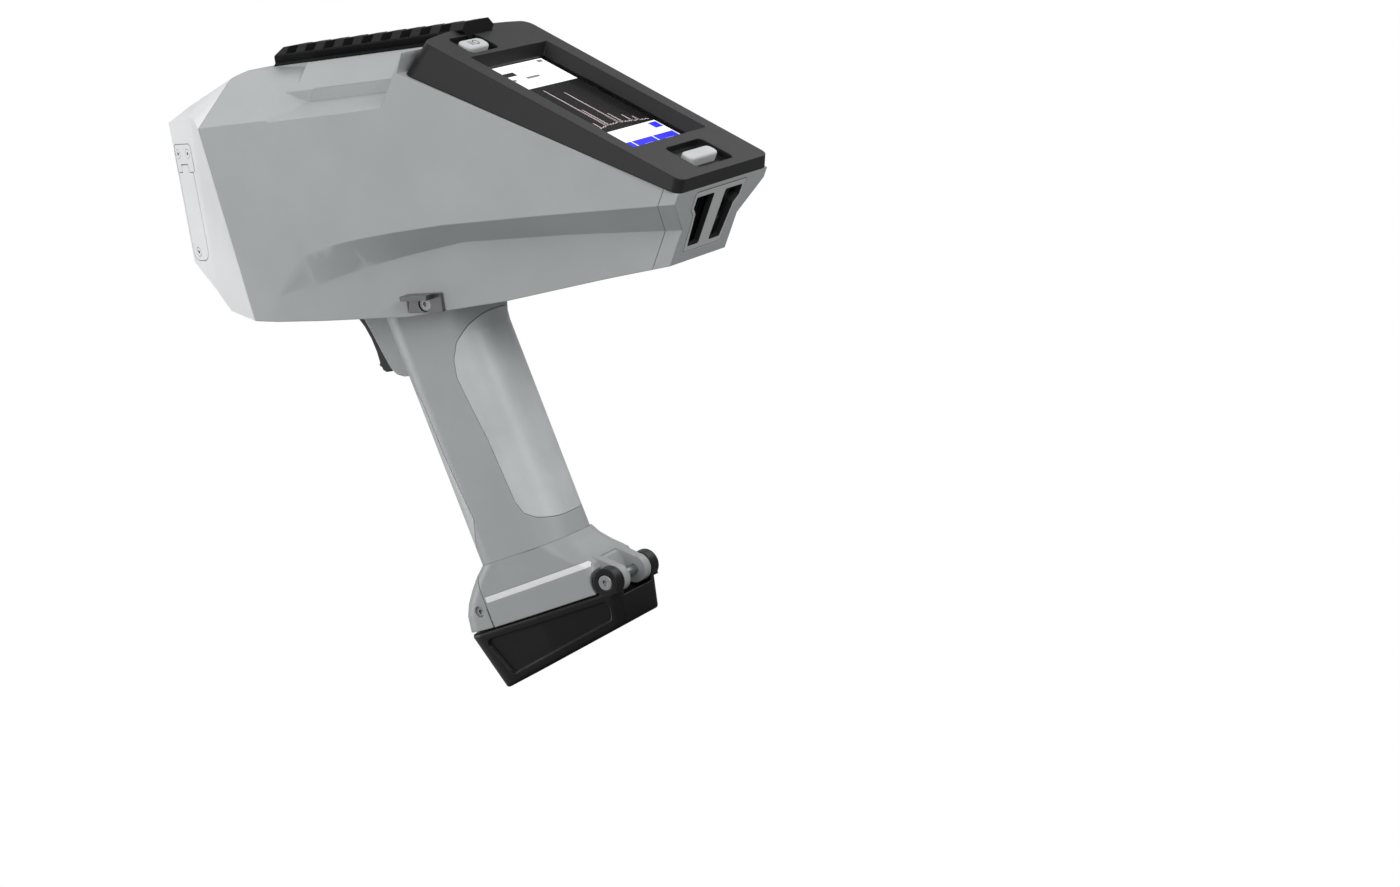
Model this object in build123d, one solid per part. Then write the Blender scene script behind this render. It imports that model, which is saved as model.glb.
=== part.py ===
from build123d import *

import math
import os

# Handheld X-ray fluorescence analyser. All sizes are in millimetres.
# Design frame: +X runs to the rear along the accessory rail, -Y points out of the left flank,
# +Z is up, and X = 0 is the front edge of the rail's first slot.
# The stored part is tipped so that it stands on its battery door (see stand_up).

# ---------------------------------------------------------------- accessory rail
RAIL_PITCH = 10.01
RAIL_SLOT = 5.23
RAIL_SLOT_DEPTH = 3.0
RAIL_SLOTS = 9
RAIL_WIDTH = 21.2
RAIL_NECK = 15.6
RAIL_TOP = 2.5
RAIL_NOSE = 10.0
RAIL_TAIL = 2.0
RAIL_RAMP = 4.0

# ---------------------------------------------------------------- main housing, side view
WALL = 2.4
NOSE_X = -62.5
NOSE_TOP = -22.0
NOSE_BOTTOM = -82.0
NOSE_KNEE_X = -52.7
NOSE_KNEE_Z = -16.4
BROW_X = -26.0
BROW_Z = -6.2
PLATEAU_X = -22.0
PLATEAU_Z = -5.0
CHIN_X = -36.5
CHIN_Z = -102.6
BELLY = ((-14.0, -106.2), (16.8, -108.8), (55.0, -110.8), (102.0, -108.0), (150.0, -102.6))
CHIN_ROUND = 14.0

# ---------------------------------------------------------------- main housing, plan view
NOSE_HALF = 20.0
CHEEK_TOP = (-42.8, 28.1)
CHEEK_BOTTOM = (-46.2, 26.7)
SEAM_TOP_X = -26.6
SEAM_BOTTOM_X = -17.9
SEAM_HALF = 42.0
FLANK = ((-8.0, 42.3), (40.0, 42.2), (110.0, 38.4), (196.0, 33.2))

# tuck under each flank: X station, crease half width, crease Z, keel half width, keel Z
TUCK = (
    (-22.0, 47.5, -92.0, 47.0, -101.0),
    (17.0, 42.6, -79.6, 38.2, -94.0),
    (42.0, 42.3, -76.3, 33.5, -88.9),
    (61.0, 41.5, -75.0, 30.5, -85.8),
    (88.0, 39.7, -73.9, 28.0, -82.6),
    (136.0, 36.9, -73.9, 24.0, -83.8),
    (200.0, 33.0, -75.0, 19.5, -87.0),
)
KEEL_DRAFT = 1.5

# ---------------------------------------------------------------- shoulders beside the rail
SPINE_HALF = 11.2
SHOULDER_HALF = 12.0
SHOULDER_DROP_Z = -24.4
LENS_Y = 22.0
LENS_TOP = -15.5
LENS_BOTTOM = -20.5
SILL_Z = -25.4
POCKET_END_LOW = (68.6, -25.4)
POCKET_END_HIGH = (78.0, -12.0)

# ---------------------------------------------------------------- display deck
DECK_SLOPE = 31.0
DECK_X = 105.3
DECK_Z = -10.6
DECK_FRONT = -16.7
DECK_BOW = 4.0
DECK_REAR = 107.8
DECK_HALF_FRONT = 35.6
DECK_HALF_REAR = 33.0
DECK_DRAFT = 11.0
WEDGE_FRONT = (-21.4, -15.2)
WEDGE_REAR = (108.8, -5.3)
REAR_CAP_DEPTH = 6.5

# ---------------------------------------------------------------- deck openings and keys
SCREEN_LENGTH = 81.0
SCREEN_HALF = 26.5
SCREEN_DEPTH = 5.6
SCREEN_SLOPE = 2.0
GLASS_THICK = 1.0
BEZEL_SKIN = 3.2
BEZEL_SIDE = 3.0
KEY_DEPTH = 3.0
KEY_PROUD = 0.6
KEY_TRAVEL = 0.8
KEY_GAP = 0.35
POWER_RECESS = (-8.7, -12.5, 13.0, 19.0)
POWER_KEY = (-8.2, -13.0, 7.0, 15.0)
ENTER_RECESS = (95.0, 0.0, 16.9, 26.6)
ENTER_KEY = (95.2, 0.0, 6.2, 20.0)

# ---------------------------------------------------------------- indicator lenses
LENS_FRONT = 18.5
LENS_REAR = 76.0
LENS_THICK = 1.4

# ---------------------------------------------------------------- grip
GRIP_LEAN = 14.5
GRIP_X = 50.4
GRIP_Z = -110.0
GRIP_FRONT = -24.0
GRIP_REAR = 23.5
GRIP_HALF = 16.5
GRIP_ROUND = 12.5
GRIP_LENGTH = 108.6
GRIP_TOP = -14.0
# sweep of the rear edge: distance down the grip, distance beyond GRIP_REAR
GRIP_FLARE = ((17.0, 0.0), (13.0, 0.6), (9.5, 2.0), (6.0, 4.4), (-6.0, 13.0))
FLARE_FRONT = -8.0
BAY_HALF_DEPTH = 18.6
BAY_HALF_WIDTH = 12.2
BAY_ROUND = 5.0
BAY_TOP = 8.0
PANEL_THICK = 1.6
PANEL_GAP = 0.25

# ---------------------------------------------------------------- foot, latch and battery door
FOOT_BOTTOM = 134.4
FOOT_SEAM = -23.6
FOOT_REAR = 35.0
FOOT_HALF = 17.2
DOOR_GAP = 0.4
DOOR_REAR = 42.0
DOOR_DEPTH_FRONT = 160.4
DOOR_DEPTH_REAR = 149.3
PIVOT_ALONG = 38.3
PIVOT_DOWN = 131.2
PIN_RADIUS = 2.0
PIN_FIT = 0.05
EAR_RADIUS = 6.0
EAR_INNER = 10.4
EAR_OUTER = 15.6
KNUCKLE_RADIUS = 5.8
KNUCKLE_HALF = 10.0
KNUCKLE_SLOT = 5.6
LATCH_ALONG = -28.6
LATCH_DOWN = 126.4
LATCH_PIN = 1.5
INLAY_TOP = 121.3
INLAY_BOTTOM = 123.8

# ---------------------------------------------------------------- trigger
TRIGGER_X = 11.5
TRIGGER_Z = -103.0
TRIGGER_HALF = 6.8
TRIGGER_PIN = 1.5
CHEEK_WALL = 2.4
TRIGGER_CLEAR = 0.5

# ---------------------------------------------------------------- display, boards and clearances
DECK_CORNER_REAR = 4.0
DECK_CORNER_FRONT = 5.0
RAIL_CLEAR = 0.3
RAIL_SCREW = 4.0
RAIL_SCREW_HEAD = 6.6
MODULE_THICK = 5.4
BOARD_LEVEL = -20.0
STANDOFF_Y = 20.0
SEAM_GAP = 0.2

# ---------------------------------------------------------------- rear vents, fan and heat sink
REAR_WALL = 4.0
VENT_THICK = 2.5
VENT_LIP = 1.5
VENT_LIP_THICK = 1.2
HEAT_SINK_LENGTH = 22.0
HEAT_SINK_WIDTH = 13.0
HEAT_SINK_HEIGHT = 21.0
HEAT_SINK_FINS = 6
HEAT_SINK_Y = -15.2
FAN_DEPTH = VENT_THICK + VENT_LIP_THICK
FAN_Y = 8.4
FAN_UP = -16.0
FAN_THICK = 10.0
FAN_SIZE = 14.0
FAN_HEIGHT = 20.0
FAN_RADIUS = 6.0
FAN_SHAFT = 1.0
FAN_BLADES = 7

# ---------------------------------------------------------------- filter door on the left cheek
DOOR_SPAN = (1.2, 14.9)
FILTER_LOW = -81.3
FILTER_SHOULDER = -43.6
FILTER_AXIS_Z = -41.2
FILTER_AXIS_DEPTH = 1.0
FILTER_THICK = 2.0
FILTER_PIN = 0.5
TONGUE_SPAN = (4.8, 11.2)
HINGE_SPAN = (0.8, 16.5)
HINGE_TOP = -31.4
HINGE_SCREWS = (3.5, 12.6)
HINGE_SCREW_Z = -35.5
FILTER_SCREW = (6.2, -77.7)
FILTER_SCREW_HEAD = 1.9

# ---------------------------------------------------------------- nose and measuring window
NOSE_WALL = 4.5
NOSE_PLATE = 1.5
NOSE_PLATE_HALF = 16.5
NOSE_PLATE_SPAN = (-78.0, -26.0)
WINDOW_Z = -52.0
WINDOW_HOLE = 8.0
WINDOW_RING = 8.5
WINDOW_APERTURE = 5.0
FILM_THICK = 0.3

# ---------------------------------------------------------------- inner works
CHASSIS_FRONT = -38.0
CHASSIS_REAR = 110.0
CHASSIS_HALF = 20.0
CHASSIS_THICK = 3.0
CHASSIS_Z = -94.0
CHASSIS_LEGS = (-8.0, 30.0, 95.0)
TUBE_SADDLES = (20.0, 48.0)
TUBE_FRONT = -30.0
TUBE_LENGTH = 60.0
TUBE_RADIUS = 9.0
TUBE_Z = WINDOW_Z
TUBE_SNOUT = 12.0
COLLIMATOR_LENGTH = 12.5
COLLIMATOR_HALF = 14.0
COLLIMATOR_HEIGHT = 19.8
COLLIMATOR_Z = -56.1
WHEEL_Z = -41.0
WHEEL_RADIUS = 15.0
WHEEL_THICK = 2.0
WHEEL_HOLES = 6
WHEEL_HOLE = 3.6
WHEEL_SHAFT = 1.0
MOTOR_RADIUS = 4.8
DETECTOR_TILT = 35.0
DETECTOR_START = 24.0
DETECTOR_LENGTH = 26.0
DETECTOR_RADIUS = 6.0
SUPPLY_X = 34.0
SUPPLY_LENGTH = 66.0
SUPPLY_HALF = 20.0
SUPPLY_HEIGHT = 30.0

# ---------------------------------------------------------------- fixings of shells, grip and anchors
SHELL_SCREWS = ((-8.0, -36.0, 42.3), (62.0, -42.0, 41.5), (128.0, -92.0, 24.6))
SHELL_BOSS = 4.0
SHELL_SCREW = 1.5
SHELL_SCREW_HEAD = 2.7
SHELL_SCREW_SEAT = 4.0
GRIP_SCREWS = ((40.0, 9.0), (57.0, 12.0))
GRIP_SCREW_HEAD = 3.0
ANCHOR_X = 65.0
ANCHOR_Z = -105.6
ANCHOR_LENGTH = 17.5
ANCHOR_HEIGHT = 7.6
ANCHOR_THICK = 4.0
ANCHOR_PROUD = 1.0
ANCHOR_LEDGE = 5.0
ANCHOR_EYE = 3.0

# ---------------------------------------------------------------- small parts of foot and door
LATCH_TONGUE = 11.9
LATCH_HOLLOW = 12.3
LATCH_PIN_HALF = 13.0
LATCH_HEAD = 2.4
LATCH_HEAD_HEIGHT = 2.3
HOOK_HALF = 8.0
INLAY_THICK = 1.2
WELL_FRONT = -36.4
WELL_REAR = 27.5
WELL_HALF = 11.6
SEAL_WIDTH = 1.8
SEAL_THICK = 1.4
DOOR_SINK = 1.2
DOOR_ROUND = 1.4
HINGE_HEAD = 3.2
HINGE_HEAD_DEPTH = 1.6
HINGE_SWEEP = 1.6
BATTERY_GAP = 0.5
BATTERY_TOP = 14.0
BATTERY_BOTTOM = 134.0
PAD_THICK = 1.5

# ---------------------------------------------------------------- small parts of the trigger
BRACKET_INNER = 8.5
BRACKET_HALF = 11.5
SPRING_RADIUS = 2.6
SWITCH_FRONT = 19.1
SWITCH_REAR = 28.6
SWITCH_Z = -115.5

# ---------------------------------------------------------------- standing position
STAND_SLOPE = math.degrees(math.atan2(DOOR_DEPTH_FRONT - DOOR_DEPTH_REAR, 71.0))
STAND_TILT = GRIP_LEAN + STAND_SLOPE


def block_beyond(point, normal, reach=500.0):
    """A big block on the side of a plane that its normal points to."""
    return Plane(origin=point, z_dir=normal) * Pos(0, 0, reach / 2) * Box(reach, reach, reach)


def profile(points, plane=Plane.XZ):
    """A flat face from corner points on a plane."""
    return plane * make_face(Polyline(*points, close=True))


def side_prism(points, half_width, inset=0.0):
    """A side view extruded symmetrically about the middle plane."""
    face = make_face(Polyline(*points, close=True))
    if inset:
        face = offset(face, amount=-inset, kind=Kind.INTERSECTION)
    return extrude(Plane.XZ * face, amount=half_width, both=True)


deck_axis = Vector(math.cos(math.radians(DECK_SLOPE)), 0, -math.sin(math.radians(DECK_SLOPE)))
deck_normal = Vector(math.sin(math.radians(DECK_SLOPE)), 0, math.cos(math.radians(DECK_SLOPE)))
DECK = Plane(origin=(DECK_X, 0, DECK_Z), x_dir=deck_axis, z_dir=deck_normal)


def on_deck(along, height=0.0):
    """Side view point (X, Z) of a place on the deck: distance down the slope and height."""
    spot = DECK.from_local_coords(Vector(along, 0, height))
    return (spot.X, spot.Z)


def body_outline():
    """Side view of the whole housing under the deck, nose first."""
    wedge_front = on_deck(*WEDGE_FRONT)
    wedge_rear = on_deck(*WEDGE_REAR)
    down = 33.5
    rear_low = (
        wedge_rear[0] - down * math.sin(math.radians(DECK_SLOPE)),
        wedge_rear[1] - down * math.cos(math.radians(DECK_SLOPE)),
    )
    step = (POCKET_END_HIGH[0] + 5.0, PLATEAU_Z)
    return [
        (NOSE_X, NOSE_TOP),
        (NOSE_KNEE_X, NOSE_KNEE_Z),
        (BROW_X, BROW_Z),
        (PLATEAU_X, PLATEAU_Z),
        step,
        wedge_front,
        wedge_rear,
        rear_low,
        *reversed(BELLY),
        (CHIN_X, CHIN_Z),
        (NOSE_X, NOSE_BOTTOM),
    ]


def seam_plane(offset_back=0.0):
    """Point and normal of the joint face between the nose cap and the shells."""
    low, high = -85.6, -23.0
    run = Vector(SEAM_BOTTOM_X - SEAM_TOP_X, 0, low - high)
    normal = Vector(-run.Z, 0, run.X).normalized()
    if normal.X < 0:
        normal = normal * -1
    return Vector(SEAM_TOP_X, 0, high) + normal * offset_back, normal


def cheek_cutter(side, inset):
    """What is cut away beside the nose: the tapered cheek and the bright strip behind it."""
    def corners(z):
        share = (z + 24.0) / -61.0
        cheek_x = CHEEK_TOP[0] + share * (CHEEK_BOTTOM[0] - CHEEK_TOP[0])
        cheek_y = CHEEK_TOP[1] + share * (CHEEK_BOTTOM[1] - CHEEK_TOP[1])
        seam_x = SEAM_TOP_X + share * (SEAM_BOTTOM_X - SEAM_TOP_X)
        taper = (cheek_y - NOSE_HALF) / (cheek_x - NOSE_X)
        lean = (SEAM_HALF - cheek_y) / (seam_x - cheek_x)
        shift = inset * 1.1
        far = 14.0
        return [
            (NOSE_X - far, (NOSE_HALF - far * taper - shift) * side, z),
            (cheek_x, (cheek_y - shift) * side, z),
            (seam_x + far / lean, (SEAM_HALF + far - shift) * side, z),
            (NOSE_X - far, (SEAM_HALF + far) * side, z),
        ]

    low = make_face(Polyline(*corners(-125.0), close=True))
    high = make_face(Polyline(*corners(8.0), close=True))
    return loft([low, high], ruled=True)


def tuck_cutter(side, inset):
    """What is cut away under each flank, fading out towards the nose."""
    rise = 0.41 * inset
    faces = []
    for x, crease_y, crease_z, keel_y, keel_z in TUCK:
        corners = [
            (x, (crease_y + 12.0) * side, crease_z + rise),
            (x, (crease_y - inset) * side, crease_z + rise),
            (x, (keel_y - inset) * side, keel_z + rise),
            (x, (keel_y - inset - KEEL_DRAFT) * side, -130.0),
            (x, (crease_y + 12.0) * side, -130.0),
        ]
        faces.append(make_face(Polyline(*corners, close=True)))
    return loft(faces, ruled=True)


def shoulder_cutter(side, inset):
    """The sloping shoulder in front and the pocket beside the rail, both cut from above."""
    wall_slope = (PLATEAU_Z - LENS_TOP) / (LENS_Y - SPINE_HALF)
    shoulder_z = PLATEAU_Z - (SHOULDER_HALF - SPINE_HALF) * wall_slope
    brow = Vector(-24.0, SHOULDER_HALF * side, shoulder_z)
    ridge_low = Vector(11.0, SEAM_HALF * side, SHOULDER_DROP_Z)
    front_low = Vector(-20.8, SEAM_HALF * side, -21.4)
    facet_top = Vector(-7.3, SHOULDER_HALF * side, shoulder_z)
    corner = Vector(16.6, LENS_Y * side, LENS_BOTTOM)
    kink = Vector(13.0, 32.0 * side, -22.4)

    def above(a, b, c):
        normal = (b - a).cross(c - a).normalized()
        if normal.Z < 0:
            normal = normal * -1
        return block_beyond(a - normal * inset, normal)

    slope = above(front_low, ridge_low, brow)
    slope &= Pos(ridge_low.X - 250.0 + inset, 0, 0) * Box(500, 500, 500)
    slope &= Pos(0, (SHOULDER_HALF - 4.0 + 250.0) * side, 0) * Box(500, 500, 500)
    pocket_face = profile(
        [
            (SPINE_HALF * side, PLATEAU_Z),
            (LENS_Y * side, LENS_TOP),
            (LENS_Y * side, LENS_BOTTOM),
            (SEAM_HALF * side, SILL_Z),
            (70.0 * side, SILL_Z - 1.5),
            (70.0 * side, 30.0),
            (SPINE_HALF * side, 30.0),
        ],
        Plane.YZ,
    )
    if inset:
        pocket_face = offset(pocket_face, amount=inset, kind=Kind.INTERSECTION)
    pocket = Pos(-60.0, 0, 0) * extrude(pocket_face, amount=150.0)
    run = Vector(POCKET_END_HIGH[0] - POCKET_END_LOW[0], 0, POCKET_END_HIGH[1] - POCKET_END_LOW[1])
    end_normal = Vector(run.Z, 0, -run.X).normalized()
    end_point = Vector(POCKET_END_LOW[0], 0, POCKET_END_LOW[1]) + end_normal * inset
    pocket -= block_beyond(end_point, end_normal)
    facets = above(brow, facet_top, ridge_low) + above(facet_top, kink, corner)
    pocket &= facets
    # the nose cap's own slope, from the front corner back to the seam
    nose_corner = Vector(NOSE_X, NOSE_HALF * side, NOSE_TOP)
    seam_low = Vector(SEAM_TOP_X, SEAM_HALF * side, -22.1)
    seam_high = Vector(-28.0, SHOULDER_HALF * side, -5.9)
    cap = above(nose_corner, seam_low, seam_high)
    point, normal = seam_plane()
    cap -= block_beyond(Vector(seam_low.X, 0, 0), Vector(1, 0, 0))
    cap &= Pos(0, (SHOULDER_HALF - 4.0 + 250.0) * side, 0) * Box(500, 500, 500)
    return slope + pocket + cap


def body_form(inset=0.0):
    """The housing's outer form, or the same form with every face moved in by inset."""
    outline = make_face(Polyline(*body_outline(), close=True))
    if inset:
        outline = offset(outline, amount=-inset, kind=Kind.INTERSECTION)
    slab = extrude(Plane.XZ * outline, amount=60.0, both=True)
    flank = Spline(*[Vector(x, y - inset, 0) for x, y in FLANK], tangents=[(1, 0.0), (1, -0.06)])
    front = Line((NOSE_X - 20.0, FLANK[0][1] - inset), (FLANK[0][0], FLANK[0][1] - inset))
    tail = Line((FLANK[-1][0], FLANK[-1][1] - inset), (FLANK[-1][0] + 20, FLANK[-1][1] - 1.2 - inset))
    middle = Polyline(
        (FLANK[-1][0] + 20, FLANK[-1][1] - 1.2 - inset),
        (FLANK[-1][0] + 20, 0),
        (NOSE_X - 20.0, 0),
        (NOSE_X - 20.0, FLANK[0][1] - inset),
    )
    half = make_face(front + flank + tail + middle)
    plan = extrude(Pos(0, 0, -130) * half, amount=150)
    plan += mirror(plan, Plane.XZ)
    body = slab & plan
    for side in (-1, 1):
        body -= cheek_cutter(side, inset)
        body -= tuck_cutter(side, inset)
        body -= shoulder_cutter(side, inset)
    return body



# ================================================================ shells, nose cap and rear cap
def rear_face_plane(depth=0.0):
    """A plane parallel to the rear face, depth in front of it."""
    x, z = on_deck(*WEDGE_REAR)
    back = Vector(x, 0, z) - deck_axis * depth
    return back, deck_axis


class Housing:
    """Outer and inner forms of the main housing, built once and shared by its pieces."""

    def __init__(self):
        self.outer = body_form()
        self.inner = body_form(WALL)
        self.skin = self.outer - self.inner


def nose_region(grow=0.0):
    point, normal = seam_plane(grow)
    return block_beyond(point, normal * -1)


def rear_region(grow=0.0):
    point, normal = rear_face_plane(REAR_CAP_DEPTH + grow)
    return block_beyond(point, normal)


def deck_box(center_u, center_y, size_u, size_y, low, high, radius=0.0):
    """A box on the deck, given by its centre, its sizes and its lowest and highest levels."""
    sketch = Rectangle(size_u, size_y)
    if radius:
        sketch = RectangleRounded(size_u, size_y, radius)
    return DECK * Pos(center_u, center_y, low) * extrude(sketch, amount=high - low)


def lens_solid(side):
    """Clear strip along the foot of the pocket's back wall."""
    height = LENS_TOP - LENS_BOTTOM
    corner = height * 0.55
    outline = [
        (LENS_FRONT, LENS_BOTTOM),
        (LENS_FRONT + corner * 0.3, LENS_BOTTOM + height * 0.55),
        (LENS_FRONT + corner, LENS_TOP),
        (LENS_REAR, LENS_TOP),
        (LENS_REAR, LENS_BOTTOM),
    ]
    strip = extrude(Plane.XZ * make_face(Polyline(*outline, close=True)), amount=LENS_THICK)
    return Pos(0, LENS_Y * side + (LENS_THICK if side < 0 else 0), 0) * strip


def shell(housing, side):
    """One half of the grey moulded body, open where the deck, caps, lens and grip meet it."""
    half = housing.skin & half_space(side)
    half -= nose_region()
    half -= rear_region()
    half -= deck_box(40.5, 0, 92.0, 60.0, -22.0, 5.0)
    half -= lens_solid(side)
    half -= trigger_opening()
    half -= bay_mouth()
    half -= anchor_block(side)
    half += shell_bosses(side) & housing.inner
    for x, y in grip_screw_spots():
        half -= Pos(x, y, GRIP_Z) * Cylinder(1.6, 20)
    half -= shell_screw_holes(side)
    for x in rail_screw_spots():
        half -= Pos(x, 0, PLATEAU_Z) * Cylinder(RAIL_SCREW / 2, 8)
    return half.solids().sort_by(SortBy.VOLUME)[-1]


def half_space(side):
    """Everything on one side of the middle plane."""
    return Pos(0, 250.0 * side, 0) * Box(500, 500, 500)


def across(x, z, radius, low, high):
    """Round bar along Y between two Y positions."""
    bar = Cylinder(radius, high - low, align=(Align.CENTER, Align.CENTER, Align.MIN))
    return Pos(x, low, z) * Rot(-90, 0, 0) * bar


def span(side, near, far):
    """Y limits of something that runs from near to far on one side of the middle plane."""
    return (near, far) if side > 0 else (-far, -near)


def shell_bosses(side):
    """Posts inside a shell that meet those of the other shell in the middle plane."""
    bosses = [across(x, z, SHELL_BOSS, *span(side, 0.0, half)) for x, z, half in SHELL_SCREWS]
    return bosses[0] + bosses[1] + bosses[2]


def shell_screw_holes(side):
    """Clearance and counterbores in the right shell, threads in the left one."""
    holes = []
    for x, z, half in SHELL_SCREWS:
        seat = half - SHELL_SCREW_SEAT
        if side > 0:
            hole = across(x, z, SHELL_SCREW + 0.1, -1.0, seat + 1.0)
            hole += across(x, z, SHELL_SCREW_HEAD + 0.2, seat, half + 20.0)
        else:
            hole = across(x, z, SHELL_SCREW, -SHELL_SCREW_SEAT * 2, 1.0)
        holes.append(hole)
    return holes


def shell_screws():
    """Screws through the right shell's posts into those of the left shell."""
    screws = []
    for x, z, half in SHELL_SCREWS:
        seat = half - SHELL_SCREW_SEAT
        screw = across(x, z, SHELL_SCREW, -SHELL_SCREW_SEAT * 2, seat)
        screw += across(x, z, SHELL_SCREW_HEAD, seat, seat + 2.0)
        socket = Pos(x, seat + 2.0, z) * Rot(90, 0, 0) * extrude(RegularPolygon(1.3, 6), amount=1.2)
        screws.append(screw - socket)
    return screws


def rail_profile(grow=0.0):
    """Section of the accessory rail, seen along it."""
    neck = RAIL_NECK / 2 + grow
    wide = RAIL_WIDTH / 2 + grow
    flank = (RAIL_WIDTH - RAIL_NECK) / 2
    top = RAIL_TOP + grow
    return [
        (-neck, PLATEAU_Z),
        (-neck, top - 2 * flank - 0.6),
        (-wide, top - flank - 0.6),
        (-wide, top - flank),
        (-neck, top),
        (neck, top),
        (wide, top - flank),
        (wide, top - flank - 0.6),
        (neck, top - 2 * flank - 0.6),
        (neck, PLATEAU_Z),
    ]


def rail_length_end():
    return RAIL_PITCH * RAIL_SLOTS + RAIL_TAIL


def rail_screw_spots():
    return [RAIL_SLOT / 2 + RAIL_PITCH * number for number in (1, 4, 7)]


def accessory_rail():
    start = -RAIL_NOSE
    length = rail_length_end() + RAIL_NOSE
    bar = Pos(start, 0, 0) * extrude(profile(rail_profile(), Plane.YZ), amount=length)
    for number in range(RAIL_SLOTS):
        slot = Box(RAIL_SLOT, RAIL_WIDTH + 2, RAIL_SLOT_DEPTH * 2)
        bar -= Pos(number * RAIL_PITCH + RAIL_SLOT / 2, 0, RAIL_TOP) * slot
    ramp = [
        (start - 1, PLATEAU_Z),
        (start, PLATEAU_Z),
        (start + RAIL_RAMP, -0.4),
        (start + RAIL_RAMP + 3.0, RAIL_TOP),
        (start + RAIL_RAMP + 3.0, RAIL_TOP + 5),
        (start - 1, RAIL_TOP + 5),
    ]
    bar -= side_prism(ramp, RAIL_WIDTH)
    floor = RAIL_TOP - RAIL_SLOT_DEPTH
    for x in rail_screw_spots():
        bar -= Pos(x, 0, floor) * Cylinder(RAIL_SCREW_HEAD / 2 + 0.2, 2 * 1.8)
        bar -= Pos(x, 0, 0) * Cylinder(RAIL_SCREW / 2, 30)
    return bar


def rail_screws():
    floor = RAIL_TOP - RAIL_SLOT_DEPTH
    bottom = PLATEAU_Z - WALL
    screws = []
    for x in rail_screw_spots():
        top = floor - 0.2
        seat = floor - 1.8
        head = Pos(x, 0, (top + seat) / 2) * Cylinder(RAIL_SCREW_HEAD / 2, top - seat)
        shank = Pos(x, 0, (seat + bottom) / 2) * Cylinder(RAIL_SCREW / 2, seat - bottom)
        socket = Pos(x, 0, top) * extrude(RegularPolygon(1.4, 6), amount=-1.0)
        screws.append(head + shank - socket)
    return screws


# ================================================================ display deck
def deck_outline(grow=0.0):
    """Outline of the display bezel on the deck plane: bowed front, straight sides and rear."""
    front = DECK_FRONT - grow
    rear = DECK_REAR + grow
    half_front = DECK_HALF_FRONT + grow
    half_rear = DECK_HALF_REAR + grow
    bow = ThreePointArc((front, half_front), (front - DECK_BOW, 0), (front, -half_front))
    rest = Polyline(
        (front, -half_front), (rear, -half_rear), (rear, half_rear), (front, half_front)
    )
    face = make_face(bow + rest)
    corners = face.vertices().sort_by(Axis.X)
    face = fillet(corners[-2:], DECK_CORNER_REAR)
    corners = face.vertices().sort_by(Axis.X)
    face = fillet(corners[:2], DECK_CORNER_FRONT)
    return face


def deck_block(top, bottom, inset=0.0):
    """The bezel's drafted block between two levels, its sides moved in by inset."""
    draft = math.tan(math.radians(DECK_DRAFT))
    upper = DECK * Pos(0, 0, top) * deck_outline(-top * draft - inset)
    lower = DECK * Pos(0, 0, bottom) * deck_outline(-bottom * draft - inset)
    return loft([upper, lower], ruled=True)


def wedge_height(along):
    """Level of the wedge plane, where bezel and shells meet, at a place down the slope."""
    share = (along - WEDGE_FRONT[0]) / (WEDGE_REAR[0] - WEDGE_FRONT[0])
    return WEDGE_FRONT[1] + share * (WEDGE_REAR[1] - WEDGE_FRONT[1])


def display_bezel(housing):
    """Black frame with the sunk screen, two key wells, deep front cheeks and open underside."""
    block = deck_block(0.0, -26.0)
    hollow = deck_block(-BEZEL_SKIN, -26.0, BEZEL_SIDE)
    tub = deck_box(SCREEN_LENGTH / 2, 0, SCREEN_LENGTH + 6, 2 * SCREEN_HALF + 6, -8.0, 0.0)
    tub += deck_box(*ENTER_RECESS[:2], ENTER_RECESS[2] + 5, ENTER_RECESS[3] + 5, -8.0, 0.0)
    tub += deck_box(*POWER_RECESS[:2], POWER_RECESS[2] + 3, POWER_RECESS[3] + 3, -6.0, 0.0)
    block -= hollow - tub
    upper = Pos(SCREEN_LENGTH / 2, 0, 0) * Rectangle(SCREEN_LENGTH, 2 * SCREEN_HALF)
    lower = Pos(SCREEN_LENGTH / 2, 0, -SCREEN_DEPTH) * Rectangle(
        SCREEN_LENGTH - 2 * SCREEN_SLOPE, 2 * SCREEN_HALF - 2 * SCREEN_SLOPE
    )
    block -= DECK * loft([upper, lower], ruled=True)
    block -= deck_box(
        SCREEN_LENGTH / 2, 0, SCREEN_LENGTH - 2 * SCREEN_SLOPE + 1.0,
        2 * SCREEN_HALF - 2 * SCREEN_SLOPE + 1.0, -20.0, -SCREEN_DEPTH,
    )
    for recess, key in ((POWER_RECESS, POWER_KEY), (ENTER_RECESS, ENTER_KEY)):
        block -= deck_box(*recess, -KEY_DEPTH, 5.0, 2.5)
        u, y, length, width = key
        gap = 2 * KEY_GAP
        block -= deck_box(u, y, length + gap, width + gap, -12.0, 0.0, length / 2 - 0.4)
    block -= housing.outer
    front_x, front_z = on_deck(*WEDGE_FRONT)
    rear_x, rear_z = on_deck(*WEDGE_REAR)
    fall = Vector(rear_x - front_x, 0, rear_z - front_z)
    below = Vector(fall.Z, 0, -fall.X).normalized()
    block -= block_beyond(Vector(front_x, 0, front_z), below)
    rail_notch = extrude(profile(rail_profile(RAIL_CLEAR), Plane.YZ), amount=60.0)
    block -= Pos(rail_length_end() + RAIL_CLEAR - 60.0, 0, 0) * rail_notch
    block = block.solids().sort_by(SortBy.VOLUME)[-1]
    return block


def display_glass():
    size = (SCREEN_LENGTH - 2 * SCREEN_SLOPE + 0.8, 2 * SCREEN_HALF - 2 * SCREEN_SLOPE + 0.8)
    top = -SCREEN_DEPTH
    return deck_box(SCREEN_LENGTH / 2, 0, *size, top - GLASS_THICK, top)


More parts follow.
